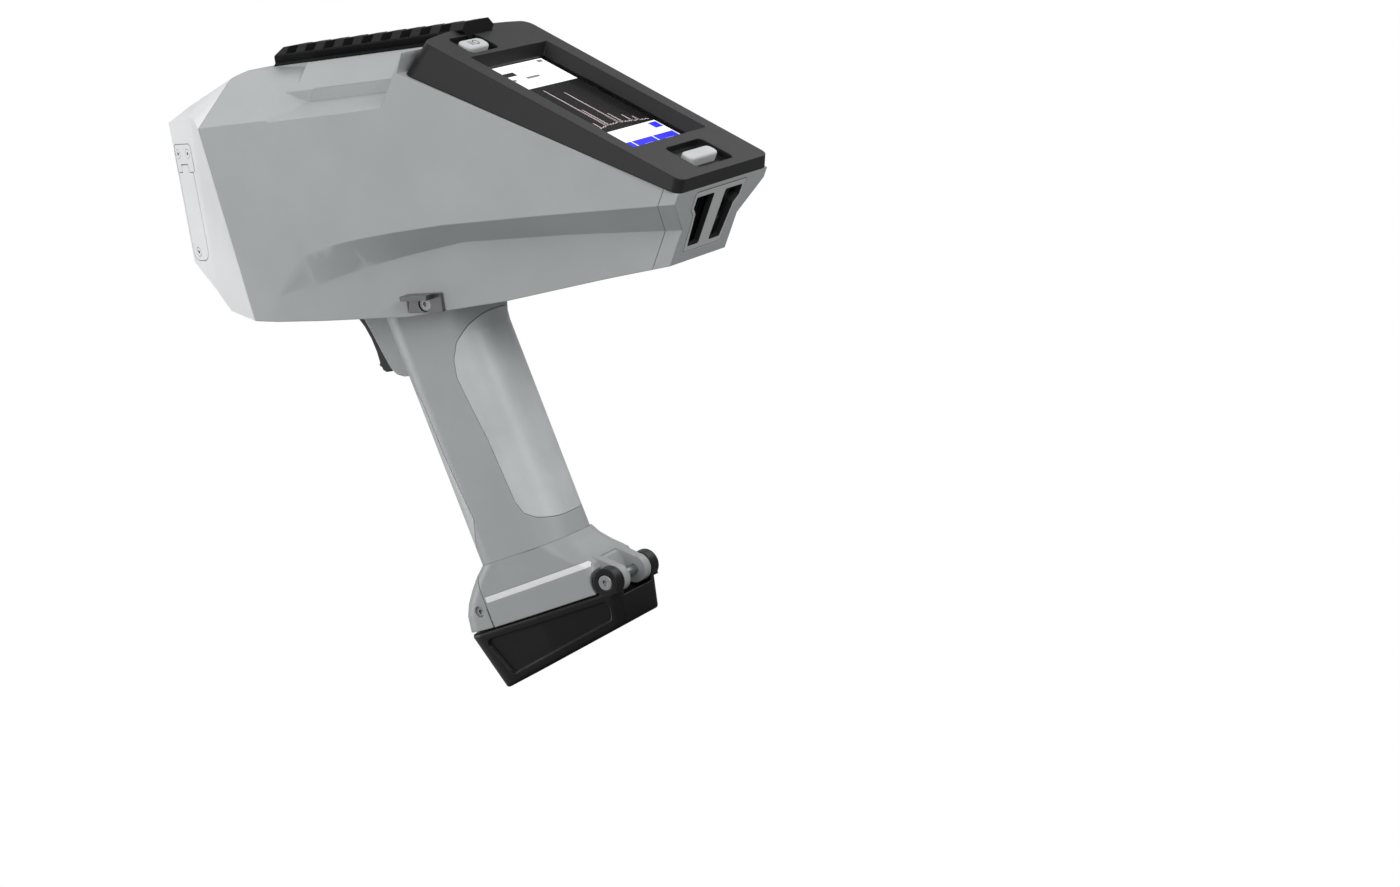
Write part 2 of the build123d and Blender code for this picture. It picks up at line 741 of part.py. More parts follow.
def module_floor():
    return -SCREEN_DEPTH - GLASS_THICK - MODULE_THICK


def display_module():
    """Display tray under the glass, with the board's standoffs on its back."""
    top = -SCREEN_DEPTH - GLASS_THICK
    tray = deck_box(SCREEN_LENGTH / 2, 0, SCREEN_LENGTH - 4, 2 * SCREEN_HALF - 4, module_floor(), top)
    return tray


def board_standoffs():
    posts = []
    for u in (8.0, SCREEN_LENGTH - 10.0):
        for y in (-STANDOFF_Y, STANDOFF_Y):
            post = Pos(u, y, (module_floor() + BOARD_LEVEL) / 2)
            posts.append(DECK * post * Cylinder(2.5, module_floor() - BOARD_LEVEL))
    return posts


def main_board():
    board = deck_box(SCREEN_LENGTH / 2, 0, SCREEN_LENGTH - 4, 46.0, BOARD_LEVEL - 1.6, BOARD_LEVEL)
    chips = deck_box(30.0, 6.0, 14.0, 14.0, BOARD_LEVEL, BOARD_LEVEL + 1.4)
    chips += deck_box(50.0, -8.0, 18.0, 10.0, BOARD_LEVEL, BOARD_LEVEL + 1.2)
    return board + chips


def key_cap(key, stem_low):
    """A rounded bar key with a flat flange below the well's floor."""
    u, y, length, width = key
    cap = deck_box(u, y, length, width, stem_low, KEY_PROUD, length / 2 - 0.6)
    top = cap.faces().filter_by(lambda f: abs(f.normal_at().dot(deck_normal) - 1) < 1e-3)[-1]
    return fillet(top.edges(), 1.0)


def power_key():
    return key_cap(POWER_KEY, -KEY_DEPTH - 1.6)


def enter_key():
    return key_cap(ENTER_KEY, -KEY_DEPTH - 0.4)


def key_switches():
    """Push switches under the two keys, each standing on the shell's top wall."""
    switches = []
    for (u, y, length, width), stem_low in ((POWER_KEY, -KEY_DEPTH - 1.6), (ENTER_KEY, -KEY_DEPTH - 0.4)):
        top = stem_low - KEY_TRAVEL - 0.3
        base = wedge_height(u + 3.0)
        switches.append(deck_box(u, y, 5.0, 5.0, base, top))
    return switches


# ================================================================ rear vents
def rear_plane(depth=0.0):
    """Rear face frame: local X across, local Y up the rear face, Z out of it."""
    point, normal = rear_face_plane(depth)
    return Plane(origin=point, x_dir=(0, 1, 0), z_dir=normal)


def mirrored(points):
    return points + [(-x, y) for x, y in reversed(points)]


def vent_opening(grow=0.0):
    outline = mirrored([(19.0, -1.9), (18.8, -9.8), (15.6, -12.6), (13.9, -29.0)])
    face = make_face(Polyline(*outline, close=True))
    face = fillet(face.vertices(), 1.2)
    return offset(face, amount=grow) if grow else face


def vent_frame():
    """Plate with two waisted windows and a mullion, set flush in the rear cap."""
    plate = extrude(vent_opening(-0.25), amount=-VENT_THICK)
    window = [(4.1, -4.4), (17.0, -4.4), (16.8, -9.2), (14.0, -12.0), (11.9, -26.6), (3.8, -26.6)]
    for side in (-1, 1):
        face = make_face(Polyline(*[(x * side, y) for x, y in window], close=True))
        face = fillet(face.vertices(), 0.9)
        plate -= Pos(0, 0, 1) * extrude(face, amount=-VENT_THICK - 2)
    lip = extrude(vent_opening(VENT_LIP), amount=-VENT_LIP_THICK)
    lip -= extrude(vent_opening(-1.4), amount=-VENT_LIP_THICK)
    return rear_plane() * (plate + Pos(0, 0, -VENT_THICK) * lip)


def rear_cap(housing):
    """Rear end of the body: the outer form behind the seam, with a thick vented face."""
    cap = housing.outer & rear_region(-SEAM_GAP)
    wall, normal = rear_face_plane(REAR_WALL)
    cap -= housing.inner & block_beyond(wall, normal * -1)
    cap -= rear_plane() * extrude(vent_opening(), amount=-20.0)
    cap -= rear_plane(VENT_THICK) * extrude(vent_opening(VENT_LIP), amount=-20.0)
    return cap


def heat_sink():
    """Finned block behind the left window."""
    corner = (Align.MIN, Align.MAX, Align.MAX)
    block = Box(HEAT_SINK_WIDTH, 2.5, HEAT_SINK_LENGTH, align=corner)
    pitch = (HEAT_SINK_WIDTH - 1.0) / (HEAT_SINK_FINS - 1)
    for number in range(HEAT_SINK_FINS):
        fin = Box(1.0, HEAT_SINK_HEIGHT, HEAT_SINK_LENGTH, align=corner)
        block += Pos(number * pitch, 0, 0) * fin
    return rear_plane(FAN_DEPTH) * Pos(HEAT_SINK_Y, -4.6, 0) * block


def fan_plane():
    """Fan frame: origin on the fan's rear face, Z out of the body."""
    return rear_plane(FAN_DEPTH) * Pos(FAN_Y, FAN_UP, 0)


def fan_housing():
    """Fan frame with a round duct, a motor boss on three struts and a shaft."""
    frame = Box(FAN_SIZE, FAN_HEIGHT, FAN_THICK, align=(Align.CENTER, Align.CENTER, Align.MAX))
    frame -= Cylinder(FAN_RADIUS + 0.5, 60)
    spider = Cylinder(3.0, 1.4, align=(Align.CENTER, Align.CENTER, Align.MIN))
    for number in range(3):
        strut = Pos(FAN_SIZE / 4, 0, 0.7) * Box(FAN_SIZE / 2 - 0.6, 1.2, 1.4)
        spider += Rot(0, 0, 120 * number + 30) * strut
    spider += Cylinder(FAN_SHAFT, FAN_THICK - 3.0, align=(Align.CENTER, Align.CENTER, Align.MIN))
    return fan_plane() * (frame + Pos(0, 0, -FAN_THICK) * spider)


def fan_rotor():
    """Hub and pitched blades running on the fan's shaft."""
    rotor = Cylinder(2.6, FAN_THICK - 3.0)
    for number in range(FAN_BLADES):
        blade = Pos((FAN_RADIUS + 2.0) / 2, 0, 0) * Rot(35, 0, 0) * Box(FAN_RADIUS - 2.2, 0.8, 4.5)
        rotor += Rot(0, 0, 360 / FAN_BLADES * number) * blade
    rotor &= Cylinder(FAN_RADIUS, 30)
    rotor -= Pos(0, 0, -3) * Cylinder(FAN_SHAFT + PIN_FIT, FAN_THICK)
    return fan_plane() * Pos(0, 0, 0.4 - FAN_THICK / 2) * rotor


# ================================================================ nose
def cheek_plane():
    """Left cheek of the nose: local X runs back along it, local Y up, Z out of it."""
    slope = (CHEEK_TOP[1] - NOSE_HALF) / (CHEEK_TOP[0] - NOSE_X)
    run = Vector(1, -slope, 0).normalized()
    out = Vector(-slope, -1, 0).normalized()
    return Plane(origin=(NOSE_X, -NOSE_HALF, 0), x_dir=run, z_dir=out)


def filter_door_outline(grow=0.0):
    """Door with a narrow tongue on top, as a closed outline on the cheek."""
    left, right = DOOR_SPAN
    low, shoulder, top = FILTER_LOW, FILTER_SHOULDER, FILTER_AXIS_Z + FILTER_AXIS_DEPTH
    tongue_left, tongue_right = TONGUE_SPAN
    panel = Pos((left + right) / 2, (low + shoulder) / 2) * Rectangle(right - left, shoulder - low)
    panel = fillet(panel.vertices().sort_by(Axis.Y)[:2], 4.5)
    tongue = Pos((tongue_left + tongue_right) / 2, (shoulder + top) / 2 - 0.5) * Rectangle(
        tongue_right - tongue_left, top - shoulder + 1.0
    )
    face = panel + tongue
    return offset(face, amount=grow, kind=Kind.INTERSECTION) if grow else face


def hinge_plate_outline():
    left, right = HINGE_SPAN
    face = Pos((left + right) / 2, (FILTER_SHOULDER + 0.3 + HINGE_TOP) / 2) * Rectangle(
        right - left, HINGE_TOP - FILTER_SHOULDER - 0.3
    )
    face = fillet(face.vertices().sort_by(Axis.Y)[-2:], 2.0)
    return face - filter_door_outline(0.3)


def filter_axis():
    """Centre and direction of the filter door's hinge."""
    plane = cheek_plane()
    center = plane.from_local_coords(Vector(sum(TONGUE_SPAN) / 2, FILTER_AXIS_Z, -FILTER_AXIS_DEPTH))
    return center, plane.x_dir


def along_cheek(length, radius):
    """A round bar along the cheek at the filter door's hinge."""
    spot = Pos(sum(TONGUE_SPAN) / 2, FILTER_AXIS_Z, -FILTER_AXIS_DEPTH)
    return cheek_plane() * spot * Rot(0, 90, 0) * Cylinder(radius, length)


def filter_door():
    """Thin panel with a rounded tongue that turns on the hinge pin."""
    door = extrude(filter_door_outline(), amount=-FILTER_THICK)
    tip = door.edges().filter_by(Axis.X).group_by(Axis.Y)[-1]
    door = fillet(tip, FILTER_AXIS_DEPTH - 0.05)
    screw_x, screw_z = FILTER_SCREW
    door -= Pos(screw_x, screw_z, 0) * Cylinder(1.0, 20)
    door -= Pos(screw_x, screw_z, 0) * Cylinder(FILTER_SCREW_HEAD + 0.15, 2 * 1.3)
    door = cheek_plane() * door
    return door - along_cheek(30, FILTER_PIN + PIN_FIT)


def filter_hinge_plate():
    plate = extrude(hinge_plate_outline(), amount=-FILTER_THICK)
    for x in HINGE_SCREWS:
        plate -= Pos(x, HINGE_SCREW_Z, 0) * Cylinder(FILTER_SCREW_HEAD + 0.15, 2 * 1.3)
        plate -= Pos(x, HINGE_SCREW_Z, 0) * Cylinder(1.0, 20)
    return cheek_plane() * plate - along_cheek(TONGUE_SPAN[1] - TONGUE_SPAN[0] + 4.4, FILTER_PIN)


def filter_hinge_pin():
    return along_cheek(TONGUE_SPAN[1] - TONGUE_SPAN[0] + 4.4, FILTER_PIN)


def small_screw(head_radius, head_height, shank_radius, shank_length, socket):
    """Socket screw, head top at Z = 0, pointing down."""
    head = Cylinder(head_radius, head_height, align=(Align.CENTER, Align.CENTER, Align.MAX))
    shank = Cylinder(shank_radius, shank_length, align=(Align.CENTER, Align.CENTER, Align.MAX))
    hole = extrude(RegularPolygon(socket, 6), amount=-head_height * 0.6)
    return head + Pos(0, 0, -head_height) * shank - hole


def filter_plate_screws():
    screws = []
    for x in HINGE_SCREWS:
        screw = small_screw(FILTER_SCREW_HEAD, 1.2, 1.0, 2.6, 0.7)
        screws.append(cheek_plane() * Pos(x, HINGE_SCREW_Z, -0.1) * screw)
    return screws


def filter_door_screw():
    x, z = FILTER_SCREW
    return cheek_plane() * Pos(x, z, -0.1) * small_screw(FILTER_SCREW_HEAD, 1.2, 1.0, 0.6, 0.7)


def nose_cap(housing):
    """Bright cap with the measuring face, cheeks and chin, thick enough to carry its fittings."""
    cap = housing.outer & nose_region(-SEAM_GAP)
    cap -= body_form(NOSE_WALL)
    plane = cheek_plane()
    cap -= plane * extrude(filter_door_outline(0.3), amount=-FILTER_THICK - 0.3)
    cap -= plane * extrude(hinge_plate_outline(), amount=-FILTER_THICK)
    cap -= along_cheek(TONGUE_SPAN[1] - TONGUE_SPAN[0] + 0.6, FILTER_THICK + 0.4)
    for x in HINGE_SCREWS:
        cap -= plane * Pos(x, HINGE_SCREW_Z, 0) * Cylinder(1.0, 2 * 3.9)
    cap -= nose_plate_block(0.15, NOSE_PLATE)
    cap -= Pos(NOSE_X, 0, WINDOW_Z) * Rot(0, 90, 0) * Cylinder(WINDOW_HOLE, 30)
    for y, z in nose_screw_spots():
        cap -= Pos(NOSE_X, y, z) * Rot(0, 90, 0) * Cylinder(1.0, 9.0)
    return cap.solids().sort_by(SortBy.VOLUME)[-1]


def nose_plate_block(gap, depth):
    low, high = NOSE_PLATE_SPAN
    sketch = Pos(0, (low + high) / 2) * RectangleRounded(
        2 * (NOSE_PLATE_HALF + gap), high - low + 2 * gap, 3.0 + gap
    )
    plane = Plane(origin=(NOSE_X, 0, 0), x_dir=(0, 1, 0), z_dir=(1, 0, 0))
    return plane * extrude(sketch, amount=depth)


def nose_screw_spots():
    low, high = NOSE_PLATE_SPAN
    y = NOSE_PLATE_HALF - 3.2
    return [(y, high - 3.4), (-y, high - 3.4), (y, low + 3.4), (-y, low + 3.4)]


def nose_plate():
    """Steel measuring plate round the window."""
    plate = nose_plate_block(0.0, NOSE_PLATE)
    plate -= Pos(NOSE_X, 0, WINDOW_Z) * Rot(0, 90, 0) * Cylinder(WINDOW_RING, 30)
    for y, z in nose_screw_spots():
        plate -= Pos(NOSE_X, y, z) * Rot(0, 90, 0) * Cylinder(1.0, 9.0)
        plate -= Pos(NOSE_X, y, z) * Rot(0, 90, 0) * Cylinder(1.9, 2 * 1.1)
    return plate


def nose_screws():
    screws = []
    for y, z in nose_screw_spots():
        screw = Rot(0, -90, 0) * small_screw(1.8, 1.0, 1.0, 3.2, 0.7)
        screws.append(Pos(NOSE_X + 0.1, y, z) * screw)
    return screws


def window_ring():
    """Retaining ring of the measuring window, with a step for the film."""
    ring = Cylinder(WINDOW_RING, NOSE_PLATE, align=(Align.CENTER, Align.CENTER, Align.MIN))
    ring -= Cylinder(WINDOW_APERTURE, 20)
    step = Cylinder(WINDOW_APERTURE + 1.5, FILM_THICK, align=(Align.CENTER, Align.CENTER, Align.MIN))
    ring -= Pos(0, 0, NOSE_PLATE - FILM_THICK) * step
    return Pos(NOSE_X, 0, WINDOW_Z) * Rot(0, 90, 0) * ring


def window_film():
    film = Cylinder(WINDOW_APERTURE + 1.5, FILM_THICK, align=(Align.CENTER, Align.CENTER, Align.MIN))
    return Pos(NOSE_X + NOSE_PLATE - FILM_THICK, 0, WINDOW_Z) * Rot(0, 90, 0) * film


# ================================================================ inner works
def chassis(housing):
    """Tray that carries tube, supply and detector, on legs down to the belly."""
    tray = Box(
        CHASSIS_REAR - CHASSIS_FRONT, 2 * CHASSIS_HALF, CHASSIS_THICK,
        align=(Align.MIN, Align.CENTER, Align.MIN),
    )
    tray = Pos(CHASSIS_FRONT, 0, CHASSIS_Z) * tray
    for x in CHASSIS_LEGS:
        for side in (-1, 1):
            leg = Box(8.0, 6.0, 30.0, align=(Align.CENTER, Align.CENTER, Align.MAX))
            tray += Pos(x, (CHASSIS_HALF - 4.0) * side, CHASSIS_Z + 0.5) * leg
    tray &= housing.inner
    for distance in TUBE_SADDLES:
        tray += Pos(TUBE_FRONT + distance, 0, 0) * tube_saddle()
    return tray - tube_solid()


def tube_saddle():
    """One upright with a round seat for the tube."""
    height = TUBE_Z - CHASSIS_Z - CHASSIS_THICK
    saddle = Box(6.0, 2 * TUBE_RADIUS + 4, height, align=(Align.CENTER, Align.CENTER, Align.MIN))
    return Pos(0, 0, CHASSIS_Z + CHASSIS_THICK) * saddle


def belly_height(x):
    """Z of the body's underside at a place along it."""
    for (x0, z0), (x1, z1) in zip(BELLY, BELLY[1:]):
        if x0 <= x <= x1:
            return z0 + (z1 - z0) * (x - x0) / (x1 - x0)
    return BELLY[-1][1]


def along_x(x, z, radius, length, y=0.0):
    """Round bar along X from a starting place."""
    bar = Cylinder(radius, length, align=(Align.CENTER, Align.CENTER, Align.MIN))
    return Pos(x, y, z) * Rot(0, 90, 0) * bar


def tube_solid():
    return along_x(TUBE_FRONT, TUBE_Z, TUBE_RADIUS, TUBE_LENGTH)


def xray_tube():
    """Miniature end-window tube in its shield, with a slim snout."""
    return tube_solid() + along_x(TUBE_FRONT - TUBE_SNOUT, TUBE_Z, TUBE_RADIUS / 2, TUBE_SNOUT + 2.0)


def collimator():
    """Block behind the window with a bore for the beam and one for the returning rays."""
    block = Box(
        COLLIMATOR_LENGTH, 2 * COLLIMATOR_HALF, COLLIMATOR_HEIGHT,
        align=(Align.MIN, Align.CENTER, Align.CENTER),
    )
    block = Pos(NOSE_X + NOSE_WALL, 0, COLLIMATOR_Z) * block
    block -= along_x(NOSE_X, WINDOW_Z, WINDOW_APERTURE, 60.0)
    return block - detector_axis(0.0) * Cylinder(3.5, 60.0, align=(Align.CENTER, Align.CENTER, Align.MIN))


def detector_axis(distance):
    """Frame on the line from the window to the detector, Z pointing away from the window."""
    tilt = math.radians(DETECTOR_TILT)
    line = Vector(math.cos(tilt), 0, -math.sin(tilt))
    return Plane(origin=Vector(NOSE_X, 0, WINDOW_Z) + line * distance, x_dir=(0, 1, 0), z_dir=line)


def wheel_center():
    front = NOSE_X + NOSE_WALL + COLLIMATOR_LENGTH + 0.5
    return Vector(front + WHEEL_THICK / 2, 0, WHEEL_Z)


def filter_wheel():
    """Disc of beam filters above the beam, one hole always in front of the tube."""
    wheel = Cylinder(WHEEL_RADIUS, WHEEL_THICK) - Cylinder(WHEEL_SHAFT + PIN_FIT, 20)
    for number in range(WHEEL_HOLES):
        spot = Rot(0, 0, 360.0 / WHEEL_HOLES * number) * Pos(WINDOW_Z - WHEEL_Z, 0, 0)
        wheel -= spot * Cylinder(WHEEL_HOLE, 20)
    return Pos(*wheel_center()) * Rot(0, -90, 0) * wheel


def wheel_motor():
    """Motor on the nose cap's inside, its shaft through the filter wheel's hub."""
    front = NOSE_X + NOSE_WALL
    tip = wheel_center().X + WHEEL_THICK / 2
    motor = along_x(front, WHEEL_Z, MOTOR_RADIUS, COLLIMATOR_LENGTH)
    return motor + along_x(front, WHEEL_Z, WHEEL_SHAFT, tip - front)


def detector():
    """Silicon drift detector pointed at the window, on a cooled foot."""
    can = Cylinder(DETECTOR_RADIUS, DETECTOR_LENGTH, align=(Align.CENTER, Align.CENTER, Align.MIN))
    can = detector_axis(DETECTOR_START) * can
    nose = Cylinder(DETECTOR_RADIUS * 0.6, 2.0, align=(Align.CENTER, Align.CENTER, Align.MAX))
    can += detector_axis(DETECTOR_START) * nose
    middle = detector_axis(DETECTOR_START + DETECTOR_LENGTH * 0.62).origin
    floor = CHASSIS_Z + CHASSIS_THICK
    foot = Box(12.0, 9.0, middle.Z - floor, align=(Align.CENTER, Align.CENTER, Align.MIN))
    return can + Pos(middle.X, 0, floor) * foot


def hv_supply():
    """Potted high voltage supply."""
    box = Box(SUPPLY_LENGTH, 2 * SUPPLY_HALF, SUPPLY_HEIGHT, align=(Align.MIN, Align.CENTER, Align.MIN))
    box = Pos(SUPPLY_X, 0, CHASSIS_Z + CHASSIS_THICK) * box
    return chamfer(box.edges().filter_by(Axis.X), 3.0)


# ================================================================ grip
lean = math.radians(GRIP_LEAN)
grip_back = Vector(math.cos(lean), 0, math.sin(lean))
grip_down = Vector(math.sin(lean), 0, -math.cos(lean))
GRIP = Plane(origin=(GRIP_X, 0, GRIP_Z), x_dir=grip_back, z_dir=grip_down * -1)
GRIP_SIDE = Plane(origin=(GRIP_X, 0, GRIP_Z), x_dir=grip_back, z_dir=(0, -1, 0))


def grip_point(along, down, across=0.0):
    """A place given by its distance behind the grip's axis, down it and across it."""
    return GRIP.from_local_coords(Vector(along, across, -down))


def grip_slab(points, half):
    """Side outline in (along, down) pairs, extruded both ways from the middle plane."""
    face = make_face(Polyline(*[(along, -down) for along, down in points], close=True))
    return extrude(GRIP_SIDE * face, amount=half, both=True)


def grip_section(down, front, rear, half_front, half_mid, half_rear, round_front, round_rear):
    """Section across the grip: a rounded bar that may taper towards both ends."""
    corners = [
        (front, -half_front), (0, -half_mid), (rear, -half_rear),
        (rear, half_rear), (0, half_mid), (front, half_front),
    ]
    face = make_face(Polyline(*corners, close=True))
    face = fillet(face.vertices().sort_by(Axis.X)[:2], round_front)
    face = fillet(face.vertices().sort_by(Axis.X)[-2:], round_rear)
    return GRIP * Pos(0, 0, -down) * face


def grip_bar(top, bottom, inset=0.0):
    """The plain grip between two levels, its surface moved in by inset."""
    half = GRIP_HALF - inset
    section = grip_section(
        bottom, GRIP_FRONT + inset, GRIP_REAR - inset, half, half, half,
        GRIP_ROUND - inset, GRIP_ROUND - inset,
    )
    return extrude(section, amount=bottom - top, dir=grip_down * -1)


def rear_panel_slab(grow=0.0):
    """Side outline of the grip panel on the rear of the grip."""
    outline = [
        (45.0, 4.0), (29.3, 8.5), (19.4, 13.4), (12.2, 18.5), (7.6, 25.0), (5.8, 32.0),
        (6.6, 40.0), (9.1, 60.0), (10.6, 88.0), (12.6, 93.5), (17.0, 97.0), (27.0, 101.5),
        (45.0, 104.0),
    ]
    face = make_face(Polyline(*[(along, -down) for along, down in outline], close=True))
    face = fillet(face.vertices().filter_by(lambda v: v.X < 28.0), 2.0)
    if grow:
        face = offset(face, amount=grow, kind=Kind.INTERSECTION)
    return extrude(GRIP_SIDE * face, amount=40.0, both=True)


def grip_flare(inset=0.0):
    """Upper end of the grip, whose rear edge sweeps back as it meets the belly."""
    half = GRIP_HALF - inset
    sections = [
        grip_section(
            down, FLARE_FRONT, GRIP_REAR + out - inset, half, half, half, 1.0, GRIP_ROUND - inset
        )
        for down, out in GRIP_FLARE
    ]
    return loft(sections, ruled=True)


def grip_form(inset=0.0, bottom=GRIP_LENGTH):
    """Whole outer form of the grip, its surface moved in by inset."""
    return grip_bar(GRIP_TOP, bottom, inset) + grip_flare(inset)


def trigger_housing():
    """Cheeks in front of the grip that the trigger closes into."""
    outline = [
        (15.2, -104.0), (15.2, -112.7), (18.4, -119.4), (22.1, -128.2), (25.3, -135.4),
        (28.0, -138.0), (31.6, -139.0), (40.0, -138.8), (46.0, -104.0),
    ]
    face = make_face(Polyline(*outline, close=True))
    return extrude(Plane.XZ * face, amount=TRIGGER_HALF + TRIGGER_CLEAR + CHEEK_WALL, both=True)


def trigger_slot():
    slot = [
        (-8.0, -100.0), (28.5, -100.0), (29.5, -122.0), (31.5, -133.0), (30.0, -137.2), (10.0, -137.2),
    ]
    return extrude(
        Plane.XZ * make_face(Polyline(*slot, close=True)), amount=TRIGGER_HALF + TRIGGER_CLEAR, both=True
    )


def runs_down(edge):
    """True for an edge that runs along the grip."""
    return abs(abs(edge.tangent_at(0.5).dot(grip_down)) - 1) < 1e-3


def battery_bay():
    """Room for the battery, open at the foot."""
    bay = [
        (-BAY_HALF_DEPTH, BAY_TOP), (BAY_HALF_DEPTH, BAY_TOP),
        (BAY_HALF_DEPTH, FOOT_BOTTOM + 5), (-BAY_HALF_DEPTH, FOOT_BOTTOM + 5),
    ]
    solid = grip_slab(bay, BAY_HALF_WIDTH)
    return fillet(solid.edges().filter_by(runs_down), BAY_ROUND)


def grip_core(housing):
    """Main moulding of the grip, with trigger cheeks, battery bay and the two panel seats."""
    seat = grip_form(PANEL_THICK, GRIP_LENGTH + 10)
    core = grip_form()
    core -= rear_panel_slab() - seat
    core -= front_strip_slab() - seat
    core += trigger_housing()
    core -= trigger_slot()
    core -= housing.outer
    core -= battery_bay()
    core -= switch_box(0.0)
    for x, y in grip_screw_spots():
        core -= Pos(x, y, GRIP_Z) * Cylinder(1.6, 14)
    return core.solids().sort_by(SortBy.VOLUME)[-1]


def rear_grip_panel(housing):
    """Thin moulded panel over the rear of the grip."""
    seat = grip_form(PANEL_THICK, GRIP_LENGTH + 10)
    panel = (rear_panel_slab(-PANEL_GAP) & grip_form()) - seat
    panel -= housing.outer
    return panel.solids().sort_by(SortBy.VOLUME)[-1]


def front_strip_slab(grow=0.0):
    """Side outline of the finger strip down the front of the grip."""
    outline = [
        (-40.0, 31.0), (-19.5, 31.0), (-16.6, 36.0), (-15.9, 60.0), (-12.8, 89.0), (-14.5, 93.0),
        (-19.0, 101.0), (-40.0, 104.5),
    ]
    face = make_face(Polyline(*[(along, -down) for along, down in outline], close=True))
    if grow:
        face = offset(face, amount=grow, kind=Kind.INTERSECTION)
    return extrude(GRIP_SIDE * face, amount=40.0, both=True) & grip_bar(GRIP_TOP, GRIP_LENGTH)


def front_grip_strip():
    """Thin finger strip let into the front of the grip."""
    seat = grip_bar(GRIP_TOP, GRIP_LENGTH + 10, PANEL_THICK)
    strip = front_strip_slab(-PANEL_GAP) - seat
    return strip.solids().sort_by(SortBy.VOLUME)[-1]


def grip_screw_spots():
    """Places (X, Y) of the screws that hold the grip to the belly from inside."""
    return [(x, y * side) for x, y in GRIP_SCREWS for side in (-1, 1)]


def grip_screws():
    screws = []
    for x, y in grip_screw_spots():
        seat = belly_height(x) + WALL + 0.3
        screw = small_screw(GRIP_SCREW_HEAD, 2.4, 1.6, WALL + 0.3 + 4.0, 1.3)
        screws.append(Pos(x, y, seat + 2.4) * screw)
    return screws


# ================================================================ foot, latch and battery door
def foot_form(inset=0.0):
    """Outer form of the flared foot, latch included, its surface moved in by inset."""
    stations = [
        (GRIP_LENGTH, GRIP_FRONT, GRIP_REAR + 0.5, GRIP_HALF, GRIP_HALF, GRIP_HALF - 0.5, 12.5, 11.0),
        (112.5, -29.2, 25.6, GRIP_HALF - 0.3, GRIP_HALF + 0.2, GRIP_HALF - 0.6, 12.2, 9.0),
        (117.0, -34.0, 29.4, GRIP_HALF - 0.6, GRIP_HALF + 0.5, GRIP_HALF - 0.7, 12.0, 7.0),
        (122.0, -38.4, FOOT_REAR - 0.6, GRIP_HALF - 0.8, FOOT_HALF, GRIP_HALF - 0.7, 11.5, 4.0),
        (127.0, -41.2, FOOT_REAR, GRIP_HALF - 1.0, FOOT_HALF, GRIP_HALF - 0.7, 11.0, 3.0),
        (FOOT_BOTTOM, -42.4, FOOT_REAR, GRIP_HALF - 1.0, FOOT_HALF, GRIP_HALF - 0.7, 10.5, 3.0),
    ]
    sections = []
    for down, front, rear, *rest in stations:
        moved = [value - inset for value in rest]
        sections.append(grip_section(down, front + inset, rear - inset, *moved))
    return loft(sections, ruled=True)


def across_bar(along, down, radius, low, high):
    """Round bar across the grip between two Y positions, placed in grip distances."""
    spot = grip_point(along, down)
    return across(spot.X, spot.Z, radius, low, high)


def both_sides(make):
    return [make(-1), make(1)]


def side_slab(side, depth):
    """Everything further out than a distance from the middle plane, on one side."""
    return Pos(0, (depth + 100.0) * side, 0) * Box(900, 200, 900)


def hinge_arm():
    """Rear web of the foot and the two knuckles that carry the hinge rod."""
    web = [
        (14.0, 102.0), (21.6, 104.0), (22.6, 109.6), (27.0, 115.6), (32.2, 119.8), (37.2, 123.0),
        (41.4, 126.4),
        (PIVOT_ALONG + KNUCKLE_RADIUS, PIVOT_DOWN), (PIVOT_ALONG, PIVOT_DOWN), (33.0, FOOT_BOTTOM),
        (14.0, FOOT_BOTTOM),
    ]
    arm = grip_slab(web, KNUCKLE_HALF)
    arm += across_bar(PIVOT_ALONG, PIVOT_DOWN, KNUCKLE_RADIUS, -KNUCKLE_HALF, KNUCKLE_HALF)
    scoop = [(29.0, 140.0), (29.0, 128.0), (33.0, 121.0), (50.0, 113.5), (60.0, 140.0)]
    return arm - grip_slab(scoop, KNUCKLE_SLOT)


def door_sweep():
    """Room in the foot that the door's ears need as the door swings."""
    radius = EAR_RADIUS + 1.3
    room = across_bar(PIVOT_ALONG, PIVOT_DOWN, radius, *span(-1, EAR_INNER - 0.3, 40.0))
    return room + across_bar(PIVOT_ALONG, PIVOT_DOWN, radius, *span(1, EAR_INNER - 0.3, 40.0))


def latch_tongue():
    """Lug on the front of the foot that the latch turns on."""
    lug = [(-23.0, 120.5), (-29.0, 121.5), (-32.2, 124.5), (-32.2, 129.5), (-30.0, 131.5), (-23.0, 131.5)]
    return grip_slab(lug, LATCH_TONGUE)


def inlay_slab(grow=0.0):
    """Bright strip let into both flanks of the foot."""
    return grip_slab(
        [
            (FOOT_SEAM + 0.8 - grow, INLAY_TOP - grow), (FOOT_REAR - 1.2 + grow, INLAY_TOP - 0.8 - grow),
            (FOOT_REAR - 1.2 + grow, INLAY_BOTTOM - 0.8 + grow),
            (FOOT_SEAM + 0.8 - grow, INLAY_BOTTOM + grow),
        ],
        40.0,
    )


def inlay_skin():
    """The outer skin of the foot's flanks, where the inlays sit."""
    skin = foot_form() - foot_form(INLAY_THICK)
    depth = BAY_HALF_WIDTH + 1.0
    return skin & (side_slab(-1, depth) + side_slab(1, depth))


